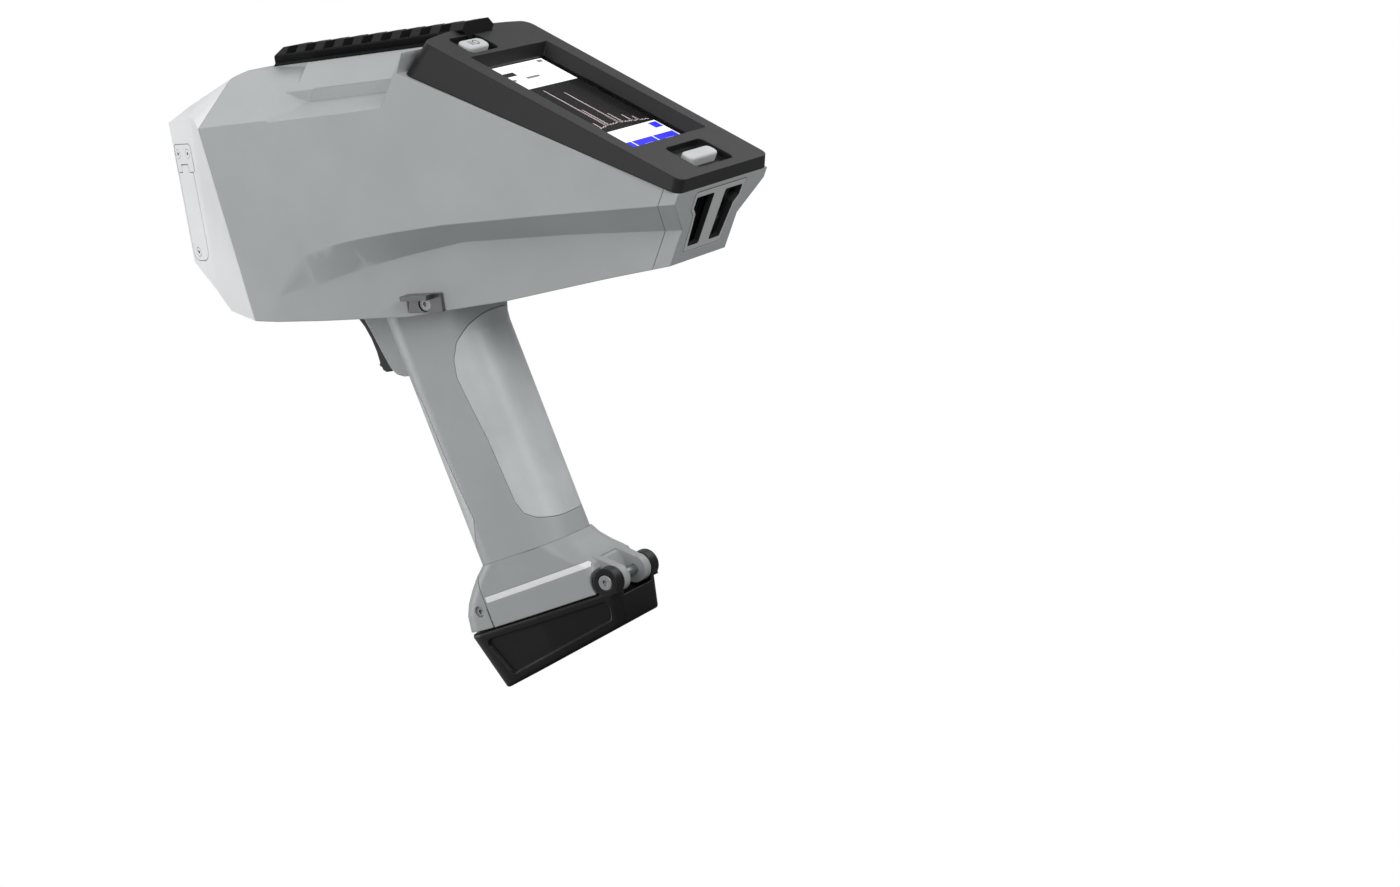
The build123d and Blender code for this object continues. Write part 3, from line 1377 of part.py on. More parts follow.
def foot_housing():
    """Flared foot round the mouth of the battery bay, with latch lug and hinge knuckles."""
    foot = foot_form()
    foot -= grip_slab([(-60.0, 90.0), (FOOT_SEAM, 90.0), (FOOT_SEAM, 150.0), (-60.0, 150.0)], 40.0)
    foot += hinge_arm() - grip_slab([(0, 90), (60, 90), (60, GRIP_LENGTH), (0, GRIP_LENGTH)], 40.0)
    foot -= door_sweep()
    foot += latch_tongue()
    foot -= battery_bay()
    foot -= across_bar(PIVOT_ALONG, PIVOT_DOWN, PIN_RADIUS + PIN_FIT, -30.0, 30.0)
    foot -= across_bar(LATCH_ALONG, LATCH_DOWN, LATCH_PIN + PIN_FIT, -30.0, 30.0)
    foot -= inlay_slab() & inlay_skin()
    return foot.solids().sort_by(SortBy.VOLUME)[-1]


def foot_inlays():
    return (inlay_slab() & inlay_skin()).solids()


def latch_lever():
    """Lever over the front of the foot; its hook reaches into the door's well."""
    lever = foot_form()
    behind = [
        (60.0, 90.0), (60.0, 150.0), (FOOT_SEAM - 0.85, 150.0), (FOOT_SEAM - 0.85, LATCH_DOWN),
        (FOOT_SEAM - 0.35, LATCH_DOWN - 1.0), (FOOT_SEAM - 0.35, 90.0),
    ]
    lever -= grip_slab(behind, 40.0)
    lever -= grip_slab([(-60, 90), (60, 90), (60, GRIP_LENGTH + 0.7), (-60, GRIP_LENGTH + 0.7)], 40.0)
    lever -= grip_slab([(-60, 133.3), (-43, 133.65), (-24, 134.3), (60, 134.4), (60, 150), (-60, 150)], 40.0)
    hollow = [(-10.0, 112.6), (-26.6, 112.6), (-31.0, 117.5), (-35.5, 122.5), (-38.0, 127.5),
              (-38.8, 150.0), (-10.0, 150.0)]
    lever -= grip_slab(hollow, LATCH_HOLLOW)
    hook = [(-40.0, 130.5), (-33.6, 132.6), (-33.6, 137.6), (-35.6, 137.6), (-35.6, 133.9), (-40.0, 133.7)]
    lever += grip_slab(hook, HOOK_HALF)
    lever -= across_bar(LATCH_ALONG, LATCH_DOWN, LATCH_PIN, -LATCH_PIN_HALF, LATCH_PIN_HALF)
    for side in (-1, 1):
        lever -= across_bar(LATCH_ALONG, LATCH_DOWN, LATCH_HEAD, *span(side, LATCH_PIN_HALF, 30.0))
    return lever.solids().sort_by(SortBy.VOLUME)[-1]


def latch_pin():
    return across_bar(LATCH_ALONG, LATCH_DOWN, LATCH_PIN, -LATCH_PIN_HALF, LATCH_PIN_HALF)


def side_screw(along, down, face_y, side, head_radius, head_height, socket):
    """Flat disc head with a hexagon socket, on a flank."""
    spot = grip_point(along, down)
    head = Cylinder(head_radius, head_height, align=(Align.CENTER, Align.CENTER, Align.MAX))
    head -= extrude(RegularPolygon(socket, 6), amount=-head_height * 0.6)
    head = chamfer(head.edges().filter_by(GeomType.CIRCLE).sort_by(Axis.Z)[-1], 0.25)
    turn = Rot(90, 0, 0) if side < 0 else Rot(-90, 0, 0)
    return Pos(spot.X, face_y * side, spot.Z) * turn * head


def latch_screws():
    face = LATCH_PIN_HALF + LATCH_HEAD_HEIGHT
    return both_sides(
        lambda side: side_screw(
            LATCH_ALONG, LATCH_DOWN, face, side, LATCH_HEAD - 0.05, LATCH_HEAD_HEIGHT, 1.0
        )
    )


def door_form(side_inset=0.0):
    """Outer form of the battery door before its sloping base is cut."""
    top = FOOT_BOTTOM + DOOR_GAP
    low = DOOR_DEPTH_FRONT + 3.0
    inset = side_inset
    sections = [
        (top, -42.4, DOOR_REAR, GRIP_HALF - 1.0 - inset, FOOT_HALF - inset, EAR_OUTER - inset, 10.0, 4.0),
        (
            low, -34.6, DOOR_REAR - 7.0, GRIP_HALF - 3.0 - inset, FOOT_HALF - 2.0 - inset,
            EAR_OUTER - 2.0 - inset, 9.0, 4.0,
        ),
    ]
    return loft([grip_section(*section) for section in sections], ruled=True)


def door_base_cutter(shift=0.0):
    front = grip_point(-30.0, DOOR_DEPTH_FRONT - shift)
    rear = grip_point(41.0, DOOR_DEPTH_REAR - shift)
    run = rear - front
    below = Vector(run.Z, 0, -run.X).normalized()
    return block_beyond(front, below)


def door_block():
    """Outer form of the battery door with its sloping base, whose rim is rounded."""
    block = door_form() - door_base_cutter()
    base = block.faces().sort_by(Axis.Z)[0]
    return fillet(base.edges(), DOOR_ROUND)


def door_well(grow=0.0):
    """Slab of the door's well, or the same with its walls moved out."""
    top = FOOT_BOTTOM + DOOR_GAP
    front, rear = WELL_FRONT - grow, WELL_REAR + grow
    outline = [(front, top - 1.0), (rear, top - 1.0), (rear, 144.5), (front + 5.0, 149.0), (front, 149.0)]
    return outline, WELL_HALF + grow


def battery_door():
    """Black end cap of the battery bay, hinged at the rear, with sunk flanks and a sloping base."""
    top = FOOT_BOTTOM + DOOR_GAP
    door = door_block()
    flank = [(-32.0, 138.4), (36.5, 138.4), (34.2, 146.3), (-25.0, 155.6)]
    face = make_face(Polyline(*[(along, -down) for along, down in flank], close=True))
    face = fillet(face.vertices(), 2.5)
    door -= extrude(GRIP_SIDE * face, amount=40.0, both=True) - door_form(DOOR_SINK)
    for side in (-1, 1):
        door += across_bar(PIVOT_ALONG, PIVOT_DOWN, EAR_RADIUS, *span(side, EAR_INNER, EAR_OUTER))
        strut = [(34.2, PIVOT_DOWN), (42.2, PIVOT_DOWN), (42.0, top + 2.0), (34.2, top + 2.0)]
        middle = (EAR_INNER + EAR_OUTER) / 2
        door += Pos(0, middle * side, 0) * grip_slab(strut, (EAR_OUTER - EAR_INNER) / 2)
    door -= across_bar(PIVOT_ALONG, PIVOT_DOWN, EAR_RADIUS + HINGE_SWEEP, -EAR_INNER, EAR_INNER)
    outline, half = door_well()
    door -= grip_slab(outline, half)
    post = [(-14.0, top), (14.0, top), (14.0, 152.0), (-14.0, 152.0)]
    door += grip_slab(post, 8.0) & door_form() - door_base_cutter()
    door -= seal_ring() + door_pad()
    door -= across_bar(PIVOT_ALONG, PIVOT_DOWN, PIN_RADIUS, -EAR_OUTER, EAR_OUTER)
    for side in (-1, 1):
        inner = EAR_OUTER - HINGE_HEAD_DEPTH
        door -= across_bar(PIVOT_ALONG, PIVOT_DOWN, HINGE_HEAD, *span(side, inner, 30.0))
    return door.solids().sort_by(SortBy.VOLUME)[-1]


def seal_ring():
    """Gasket let into the door's top face round its well."""
    top = FOOT_BOTTOM + DOOR_GAP
    front, rear = WELL_FRONT, WELL_REAR
    ring = grip_slab(
        [
            (front - SEAL_WIDTH, top), (rear + SEAL_WIDTH, top),
            (rear + SEAL_WIDTH, top + SEAL_THICK), (front - SEAL_WIDTH, top + SEAL_THICK),
        ],
        WELL_HALF + SEAL_WIDTH,
    )
    return ring - grip_slab([(front, 100.0), (rear, 100.0), (rear, 150.0), (front, 150.0)], WELL_HALF)


def door_pad():
    """Soft pad on the door's post that steadies the battery."""
    top = FOOT_BOTTOM + DOOR_GAP
    return grip_slab([(-12.0, top), (12.0, top), (12.0, top + PAD_THICK), (-12.0, top + PAD_THICK)], 6.5)


def hinge_pin():
    inner = EAR_OUTER - HINGE_HEAD_DEPTH
    return across_bar(PIVOT_ALONG, PIVOT_DOWN, PIN_RADIUS, -inner, inner)


def hinge_screws():
    face = EAR_OUTER + 0.2
    return both_sides(
        lambda side: side_screw(
            PIVOT_ALONG, PIVOT_DOWN, face, side, HINGE_HEAD, HINGE_HEAD_DEPTH + 0.2, 1.3
        )
    )


def battery_pack():
    reach = BAY_HALF_DEPTH - BATTERY_GAP
    pack = [
        (-reach, BATTERY_TOP), (reach, BATTERY_TOP), (reach, BATTERY_BOTTOM), (-reach, BATTERY_BOTTOM),
    ]
    solid = grip_slab(pack, BAY_HALF_WIDTH - BATTERY_GAP)
    return fillet(solid.edges().filter_by(runs_down), BAY_ROUND - BATTERY_GAP)


def battery_contacts():
    """Contact block at the inner end of the bay."""
    block = grip_slab([(-12.0, BAY_TOP), (12.0, BAY_TOP), (12.0, BATTERY_TOP), (-12.0, BATTERY_TOP)], 8.0)
    for along in (-7.5, -2.5, 2.5, 7.5):
        groove = [
            (along - 0.5, BATTERY_TOP - 1.2), (along + 0.5, BATTERY_TOP - 1.2),
            (along + 0.5, BATTERY_TOP + 1.0), (along - 0.5, BATTERY_TOP + 1.0),
        ]
        block -= grip_slab(groove, 6.0)
    return block


def bay_mouth():
    """Cable opening in the belly above the grip."""
    return Pos(GRIP_X + 12.0, 0, belly_height(GRIP_X)) * Box(18.0, 16.0, 12.0)


# ================================================================ trigger
def trigger():
    """Curved blade on a cross pin, with a small nub near its tip."""
    blade = [
        (6.4, -106.0), (9.4, -112.2), (12.9, -117.4), (15.3, -122.6), (16.9, -128.2), (17.7, -133.4),
        (18.6, -136.2), (20.2, -137.2), (23.2, -137.0), (20.3, -128.4), (16.4, -119.4), (13.4, -112.2),
        (13.0, -106.0), (14.4, -103.0), (9.0, -101.5),
    ]
    face = make_face(Polyline(*blade, close=True))
    body = extrude(Plane.XZ * face, amount=TRIGGER_HALF, both=True)
    body += across(TRIGGER_X, TRIGGER_Z, 3.8, -TRIGGER_HALF, TRIGGER_HALF)
    body += across(17.6, -134.0, 0.9, -TRIGGER_HALF + 0.6, TRIGGER_HALF - 0.6)
    return body - across(TRIGGER_X, TRIGGER_Z, TRIGGER_PIN + PIN_FIT, -30.0, 30.0)


def trigger_opening():
    """Slot in the belly for the trigger's root."""
    return Pos(9.5, 0, -108.0) * Box(19.0, 2 * (TRIGGER_HALF + 1.2), 9.0)


def trigger_pin():
    return across(TRIGGER_X, TRIGGER_Z, TRIGGER_PIN, -BRACKET_HALF, BRACKET_HALF)


def trigger_bracket():
    """Two lugs inside the belly that hold the trigger's pin, joined by a bridge under the tray."""
    floor = belly_height(TRIGGER_X) + WALL + 0.6
    thick = 1.8
    bridge = Box(14.0, 2 * BRACKET_HALF, thick, align=(Align.CENTER, Align.CENTER, Align.MAX))
    bracket = Pos(TRIGGER_X, 0, CHASSIS_Z) * bridge
    for side in (-1, 1):
        low, high = span(side, BRACKET_INNER, BRACKET_HALF)
        lug = Box(14.0, high - low, CHASSIS_Z - floor, align=(Align.CENTER, Align.MIN, Align.MIN))
        bracket += Pos(TRIGGER_X, low, floor) * lug
    return bracket - across(TRIGGER_X, TRIGGER_Z, TRIGGER_PIN, -30.0, 30.0)


def trigger_spring():
    """Return coil round the trigger's pin, as the sleeve that its turns fill."""
    sleeve = across(TRIGGER_X, TRIGGER_Z, SPRING_RADIUS, TRIGGER_HALF + 0.35, BRACKET_INNER)
    return sleeve - across(TRIGGER_X, TRIGGER_Z, TRIGGER_PIN, -30.0, 30.0)


def switch_box(gap):
    box = Box(
        SWITCH_REAR - SWITCH_FRONT, 8.0 + 2 * gap, 7.0 + 2 * gap,
        align=(Align.MIN, Align.CENTER, Align.CENTER),
    )
    return Pos(SWITCH_FRONT, 0, SWITCH_Z) * box


def trigger_switch():
    """Micro switch on the rear wall of the trigger's slot."""
    return switch_box(0.0)


# ================================================================ lanyard anchors
def keel_half(x, z):
    """Half width of the keel wall at a place, from the tuck stations."""
    for one, two in zip(TUCK, TUCK[1:]):
        if one[0] <= x <= two[0]:
            share = (x - one[0]) / (two[0] - one[0])
            keel = one[3] + share * (two[3] - one[3])
            keel_z = one[4] + share * (two[4] - one[4])
            return keel - KEEL_DRAFT * (keel_z - z) / (keel_z + 130.0)
    return TUCK[-1][3]


def anchor_plane(side):
    """Frame of a lanyard anchor: local Y up, Z out of the flank."""
    half = keel_half(ANCHOR_X, ANCHOR_Z)
    return Plane(
        origin=(ANCHOR_X, half * side, ANCHOR_Z), x_dir=(-side, 0, 0.03 * side), z_dir=(0, side, 0)
    )


def anchor_block(side):
    """Plain block of a lanyard anchor, let in through the keel wall."""
    block = Box(ANCHOR_LENGTH, ANCHOR_HEIGHT, ANCHOR_THICK, align=(Align.CENTER, Align.CENTER, Align.MAX))
    return anchor_plane(side) * Pos(0, 0, ANCHOR_PROUD) * block


def lanyard_anchors():
    """Small metal blocks with a ledge and a screwed eye, one on each flank above the grip."""
    anchors = []
    for side in (-1, 1):
        block = anchor_block(side)
        ledge = Box(ANCHOR_LENGTH - 4.0, 2.0, ANCHOR_LEDGE, align=(Align.CENTER, Align.MAX, Align.MIN))
        block += anchor_plane(side) * Pos(1.5 * side, ANCHOR_HEIGHT / 2, ANCHOR_PROUD) * ledge
        block -= anchor_plane(side) * Pos(0, -0.6, ANCHOR_PROUD) * Cylinder(ANCHOR_EYE, 3.6)
        block -= anchor_plane(side) * Pos(0, -0.6, 0) * Cylinder(1.5, 20)
        anchors.append(block)
    return anchors


def anchor_screws():
    screws = []
    for side in (-1, 1):
        screw = small_screw(ANCHOR_EYE - 0.3, 1.2, 1.5, 4.0, 1.1)
        screws.append(anchor_plane(side) * Pos(0, -0.6, ANCHOR_PROUD - 0.6) * screw)
    return screws


# ================================================================ assembly and export
def pieces():
    """Every node of the part with the solids that belong to it."""
    housing = Housing()
    return {
        "left_shell": shell(housing, -1),
        "right_shell": shell(housing, 1),
        "shell_screws": shell_screws(),
        "nose_cap": nose_cap(housing),
        "nose_plate": nose_plate(),
        "nose_screws": nose_screws(),
        "window_ring": window_ring(),
        "window_film": window_film(),
        "filter_door": filter_door(),
        "filter_hinge_plate": filter_hinge_plate(),
        "filter_hinge_pin": filter_hinge_pin(),
        "filter_plate_screws": filter_plate_screws(),
        "filter_door_screw": filter_door_screw(),
        "rear_cap": rear_cap(housing),
        "vent_frame": vent_frame(),
        "heat_sink": heat_sink(),
        "fan_housing": fan_housing(),
        "fan_rotor": fan_rotor(),
        "display_bezel": display_bezel(housing),
        "display_glass": display_glass(),
        "display_module": display_module(),
        "board_standoffs": board_standoffs(),
        "main_board": main_board(),
        "power_key": power_key(),
        "enter_key": enter_key(),
        "key_switches": key_switches(),
        "accessory_rail": accessory_rail(),
        "rail_screws": rail_screws(),
        "left_indicator_lens": lens_solid(-1),
        "right_indicator_lens": lens_solid(1),
        "chassis": chassis(housing),
        "xray_tube": xray_tube(),
        "collimator": collimator(),
        "filter_wheel": filter_wheel(),
        "wheel_motor": wheel_motor(),
        "detector": detector(),
        "hv_supply": hv_supply(),
        "grip_core": grip_core(housing),
        "grip_screws": grip_screws(),
        "rear_grip_panel": rear_grip_panel(housing),
        "front_grip_strip": front_grip_strip(),
        "trigger": trigger(),
        "trigger_pin": trigger_pin(),
        "trigger_bracket": trigger_bracket(),
        "trigger_spring": trigger_spring(),
        "trigger_switch": trigger_switch(),
        "foot_housing": foot_housing(),
        "foot_inlays": foot_inlays(),
        "latch_lever": latch_lever(),
        "latch_pin": latch_pin(),
        "latch_screws": latch_screws(),
        "battery_pack": battery_pack(),
        "battery_contacts": battery_contacts(),
        "battery_door": battery_door(),
        "door_seal": seal_ring(),
        "door_pad": door_pad(),
        "hinge_pin": hinge_pin(),
        "hinge_screws": hinge_screws(),
        "lanyard_anchors": lanyard_anchors(),
        "anchor_screws": anchor_screws(),
    }


def as_one(shape):
    """Several solids as one compound, a single solid as it is."""
    if isinstance(shape, list):
        return Compound(children=list(shape))
    return shape


def stand_up(shape, shift=(0.0, 0.0, 0.0)):
    """Tips a piece so that the part stands on its battery door, then moves it."""
    return Pos(*shift) * Rot(0, STAND_TILT, 0) * shape


def main():
    os.makedirs("parts", exist_ok=True)
    standing = {name: stand_up(as_one(shape)) for name, shape in pieces().items()}
    boxes = [shape.bounding_box() for shape in standing.values()]
    low = [min(getattr(box.min, axis) for box in boxes) for axis in "XYZ"]
    high = [max(getattr(box.max, axis) for box in boxes) for axis in "XYZ"]
    shift = (-(low[0] + high[0]) / 2, -(low[1] + high[1]) / 2, -low[2])
    for name, shape in standing.items():
        export_step(Pos(*shift) * shape, f"parts/{name}.step")
    print("standing shift", [round(value, 4) for value in shift])


if __name__ == "__main__":
    main()
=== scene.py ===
"""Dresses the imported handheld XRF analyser: finishes, fine pieces, studio and camera."""

from __future__ import annotations

import logging
import math
from dataclasses import dataclass, field
from enum import Enum
from typing import Callable, Iterable, Sequence, Union

import bmesh
import bpy
from mathutils import Matrix, Vector


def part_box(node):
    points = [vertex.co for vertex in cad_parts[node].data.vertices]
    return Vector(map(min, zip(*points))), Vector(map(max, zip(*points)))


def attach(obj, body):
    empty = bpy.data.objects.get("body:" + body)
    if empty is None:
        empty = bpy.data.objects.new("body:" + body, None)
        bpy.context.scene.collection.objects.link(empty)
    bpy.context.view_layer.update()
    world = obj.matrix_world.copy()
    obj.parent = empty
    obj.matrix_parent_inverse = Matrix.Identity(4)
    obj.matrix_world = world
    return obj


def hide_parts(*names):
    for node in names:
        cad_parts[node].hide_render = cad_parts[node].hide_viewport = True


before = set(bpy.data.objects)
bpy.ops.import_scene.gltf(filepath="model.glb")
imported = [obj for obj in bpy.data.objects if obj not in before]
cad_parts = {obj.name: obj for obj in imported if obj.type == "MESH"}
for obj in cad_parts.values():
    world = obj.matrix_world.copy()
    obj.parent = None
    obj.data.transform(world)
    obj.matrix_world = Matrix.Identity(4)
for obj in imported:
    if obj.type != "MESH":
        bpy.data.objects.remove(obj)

LOG = logging.getLogger("analyser")
MM = 0.001
BODY = "analyzer"
SENSOR = 36.0
FRAME_WIDTH = 1400.0

Colour = tuple[float, float, float]
Scalar = Union[float, "Sock"]
Owner = Union[bpy.types.Material, bpy.types.World]


def srgb(red: int, green: int, blue: int) -> Colour:
    """Converts a display colour to the linear colour that shaders use.

    Args:
        red: Red from 0 to 255.
        green: Green from 0 to 255.
        blue: Blue from 0 to 255.

    Returns:
        The linear colour.
    """
    def linear(value: int) -> float:
        """Linear value of one channel."""
        share = value / 255.0
        return share / 12.92 if share <= 0.04045 else ((share + 0.055) / 1.055) ** 2.4

    return (linear(red), linear(green), linear(blue))


def tone(colour: Colour, gain: float, lift: float = 0.0) -> Colour:
    """A lighter or darker tone of a colour, held below white."""
    return tuple(min(1.0, value * gain + lift) for value in colour)


# ------------------------------------------------------------------------------- frames
GRIP_LEAN = 14.5
DOOR_LENGTH = 71.0
DOOR_DEPTH_FRONT = 160.4
DOOR_DEPTH_REAR = 149.3


@dataclass(frozen=True)
class DesignFrame:
    """The frame in which the analyser was designed, with X along its accessory rail.

    Args:
        tilt: Degrees about Y from the design frame to the standing one, which are the grip's lean
            and the slope of the battery door's base.
        shift: Millimetres from the design origin to the standing one, after the turn.
    """

    tilt: float = GRIP_LEAN + math.degrees(
        math.atan2(DOOR_DEPTH_FRONT - DOOR_DEPTH_REAR, DOOR_LENGTH)
    )
    shift: tuple[float, float, float] = (-32.6523, 0.0, 274.8098)

    @property
    def matrix(self) -> Matrix:
        """Matrix from design millimetres to standing metres."""
        turn = Matrix.Rotation(math.radians(self.tilt), 4, "Y")
        return Matrix.Scale(MM, 4) @ Matrix.Translation(self.shift) @ turn

    def turn(self, direction: Sequence[float]) -> Vector:
        """Turns a design direction into the standing frame."""
        return Matrix.Rotation(math.radians(self.tilt), 3, "Y") @ Vector(direction)

    def point(self, x: float, y: float, z: float) -> Vector:
        """Places a design point in the standing frame."""
        return self.matrix @ Vector((x, y, z))

    def place(
        self, origin: Sequence[float], x_dir: Sequence[float], normal: Sequence[float]
    ) -> Matrix:
        """Matrix of a plane given in design terms, from local millimetres to standing metres.

        Args:
            origin: Design point of the local origin.
            x_dir: Design direction of local X.
            normal: Design direction of local Z.

        Returns:
            The matrix.
        """
        z_axis = Vector(normal).normalized()
        x_axis = Vector(x_dir).normalized()
        y_axis = z_axis.cross(x_axis)
        local = Matrix((x_axis, y_axis, z_axis)).transposed().to_4x4()
        return self.matrix @ Matrix.Translation(origin) @ local


DESIGN = DesignFrame()
SLOPE = math.radians(31.0)
DECK_ALONG = (math.cos(SLOPE), 0.0, -math.sin(SLOPE))
DECK_UP = (math.sin(SLOPE), 0.0, math.cos(SLOPE))
DECK_ORIGIN = (105.3, 0.0, -10.6)


# ------------------------------------------------------------------------------- shader graph
BEVEL_SAMPLES = 6
EDGE_RANGE = (0.01, 0.22)


class Sock:
    """An output socket that takes part in arithmetic."""

    def __init__(self, graph: "Graph", socket: bpy.types.NodeSocket) -> None:
        """Keeps the socket with its graph.

        Args:
            graph: The graph that the socket is in.
            socket: The output socket.
        """
        self.graph = graph
        self.socket = socket

    def _math(self, operation: str, first: Scalar, second: Scalar) -> "Sock":
        """Adds a Math node."""
        return self.graph.add("ShaderNodeMath", [first, second], operation=operation)

    def __add__(self, other: Scalar) -> "Sock":
        """Sum with a value on the right."""
        return self._math("ADD", self, other)

    def __radd__(self, other: Scalar) -> "Sock":
        """Sum with a value on the left."""
        return self._math("ADD", other, self)

    def __sub__(self, other: Scalar) -> "Sock":
        """Difference from a value on the right."""
        return self._math("SUBTRACT", self, other)

    def __rsub__(self, other: Scalar) -> "Sock":
        """Difference from a value on the left."""
        return self._math("SUBTRACT", other, self)

    def __mul__(self, other: Scalar) -> "Sock":
        """Product with a value on the right."""
        return self._math("MULTIPLY", self, other)

    def __rmul__(self, other: Scalar) -> "Sock":
        """Product with a value on the left."""
        return self._math("MULTIPLY", other, self)

    def ramp(self, low: float, high: float, start: float = 0.0, end: float = 1.0) -> "Sock":
        """Maps low..high to start..end, held at both ends."""
        node = self.graph.raw("ShaderNodeMapRange", [self, low, high, start, end])
        return Sock(self.graph, node.outputs["Result"])


class Graph:
    """The node tree of a material or of the world, with one method for any node."""

    def __init__(self, owner: Owner) -> None:
        """Empties the owner's tree and adds its output node.

        Args:
            owner: The material or world.
        """
        owner.use_nodes = True
        self.owner = owner
        self.tree = owner.node_tree
        self.tree.nodes.clear()
        world = isinstance(owner, bpy.types.World)
        self.output = self.raw("ShaderNodeOutputWorld" if world else "ShaderNodeOutputMaterial")

    def raw(
        self, kind: str, inputs: Union[Sequence, dict, None] = None, **settings: object
    ) -> bpy.types.Node:
        """Adds a node, sets its properties and fills its inputs.

        Args:
            kind: Node type.
            inputs: Values or sockets by position, or by name; None leaves an input alone.
            **settings: Node properties.

        Returns:
            The node.
        """
        node = self.tree.nodes.new(kind)
        for key, value in settings.items():
            setattr(node, key, value)
        pairs = inputs.items() if isinstance(inputs, dict) else enumerate(inputs or [])
        for key, value in pairs:
            target = node.inputs[key]
            if isinstance(value, Sock):
                self.tree.links.new(value.socket, target)
            elif value is not None:
                colour = target.type == "RGBA" and len(value) == 3
                target.default_value = (*value, 1.0) if colour else value
        return node

    def add(
        self, kind: str, inputs: Union[Sequence, dict, None] = None, out: Union[int, str] = 0,
        **settings: object,
    ) -> Sock:
        """Adds a node and returns one of its outputs."""
        return Sock(self, self.raw(kind, inputs, **settings).outputs[out])

    def mix(self, share: Scalar, first: object, second: object) -> Sock:
        """Blends two colours."""
        return self.add("ShaderNodeMix", {0: share, 6: first, 7: second}, out=2, data_type="RGBA")

    def coords(self, stretch: tuple[float, float, float] = (1.0, 1.0, 1.0)) -> Sock:
        """Object coordinates in millimetres.

        Args:
            stretch: Stretch of the pattern along the axes.

        Returns:
            The coordinates.
        """
        place = self.add("ShaderNodeTexCoord", out="Object")
        scale = tuple(value / MM for value in stretch)
        return self.add("ShaderNodeMapping", {"Vector": place, "Scale": scale})

    def noise(self, where: Sock, scale: float, detail: float = 2.0, rough: float = 0.5) -> Sock:
        """Fractal noise from 0 to 1, scale in cycles per millimetre."""
        inputs = {"Vector": where, "Scale": scale, "Detail": detail, "Roughness": rough}
        return self.add("ShaderNodeTexNoise", inputs)

    def bevel(self, radius: float) -> Sock:
        """Normal with the edges rounded to a radius in millimetres."""
        return self.add("ShaderNodeBevel", {"Radius": radius * MM}, samples=BEVEL_SAMPLES)

    def edge(self, radius: float) -> Sock:
        """Near 1 on edges and 0 on flat surfaces.

        Args:
            radius: Width of the edges in millimetres.

        Returns:
            The mask.
        """
        plain = self.add("ShaderNodeNewGeometry", out="Normal")
        soft = self.bevel(radius)
        turns = [soft, plain]
        dot = self.add("ShaderNodeVectorMath", turns, out="Value", operation="DOT_PRODUCT")
        return (1.0 - dot).ramp(*EDGE_RANGE)

    def bump(self, height: Sock, depth: float, normal: Sock | None = None) -> Sock:
        """Bumped normal, depth in millimetres."""
        inputs = {"Strength": 1.0, "Distance": depth * MM, "Height": height, "Normal": normal}
        return self.add("ShaderNodeBump", inputs)

    def surface(self, **inputs: object) -> bpy.types.Material:
        """Ends a material's tree in a Principled shader.

        Args:
            **inputs: Values or sockets by the shader's input names, in lower case.

        Returns:
            The material.
        """
        values = {key.replace("_", " ").title(): value for key, value in inputs.items()}
        values = {key.replace("Ior", "IOR"): value for key, value in values.items()}
        return self.end(self.add("ShaderNodeBsdfPrincipled", values))

    def end(self, shader: Sock) -> Owner:
        """Ends the tree in a shader and returns what the tree belongs to."""
        self.tree.links.new(shader.socket, self.output.inputs["Surface"])
        return self.owner


# ------------------------------------------------------------------------------- finishes
DRIFT_RANGE = (0.3, 0.7)
WAVE_CYCLES = 0.31
PALE = (1.25, 0.02)
POLISHED = (1.6, 0.05)


class Finish:
    """A surface finish that builds its material once."""

    name: str

    def build(self) -> bpy.types.Material:
        """Builds the material."""
        raise NotImplementedError

    @property
    def label(self) -> str:
        """Name of the material, which differs from the slots that come with the frame."""
        return self.name + "_finish"

    def graph(self) -> Graph:
        """An empty graph in a new material of the finish's name."""
        return Graph(bpy.data.materials.new(self.label))

    def material(self) -> bpy.types.Material:
        """The material, built on first use."""
        found = bpy.data.materials.get(self.label)
        return found if found else self.build()


@dataclass(frozen=True)
class MouldedPlastic(Finish):
    """Spark-eroded mould texture with faint colour drift and soft edges.

    Args:
        name: Finish name.
        colour: Linear base colour.
        roughness: Middle roughness.
        grain: Size of the mould texture in millimetres.
        depth: Depth of the mould texture in millimetres.
        edge: Radius of the edges in millimetres.
        wear: How much lighter the edges are.
        shine: Specular level.
        cloud: Cycles of the colour drift in a millimetre.
        smear: Cycles of the handling marks in a millimetre.
        tones: Gain of the darkest and the lightest tone.
        spread: What marks, texture and edges change in the roughness.
        offset: What is taken off the roughness for them.
    """

    name: str
    colour: Colour
    roughness: float = 0.48
    grain: float = 0.35
    depth: float = 0.018
    edge: float = 0.7
    wear: float = 0.1
    shine: float = 0.4
    cloud: float = 0.03
    smear: float = 0.12
    tones: tuple[float, float] = (0.955, 1.035)
    spread: tuple[float, float, float] = (0.08, 0.03, -0.05)
    offset: float = 0.05

    def build(self) -> bpy.types.Material:
        """Builds the material: drifting tone, worn edges, smudged gloss and mould texture.

        Returns:
            The material.
        """
        graph = self.graph()
        where = graph.coords()
        fine = graph.noise(where, 1.0 / self.grain, 3.0, 0.6)
        drift = graph.noise(where, self.cloud, 3.0)
        smudge = graph.noise(where, self.smear, 4.0, 0.62)
        edge = graph.edge(self.edge)
        dark, light = (tone(self.colour, gain) for gain in self.tones)
        base = graph.mix(drift.ramp(*DRIFT_RANGE), dark, light)
        base = graph.mix(edge * self.wear, base, tone(self.colour, *PALE))
        marks, texture, edges = self.spread
        rough = (self.roughness - self.offset) + smudge * marks + fine * texture + edge * edges
        normal = graph.bump(fine, self.depth, graph.bevel(self.edge))
        return graph.surface(
            base_color=base, roughness=rough, normal=normal, specular_ior_level=self.shine
        )


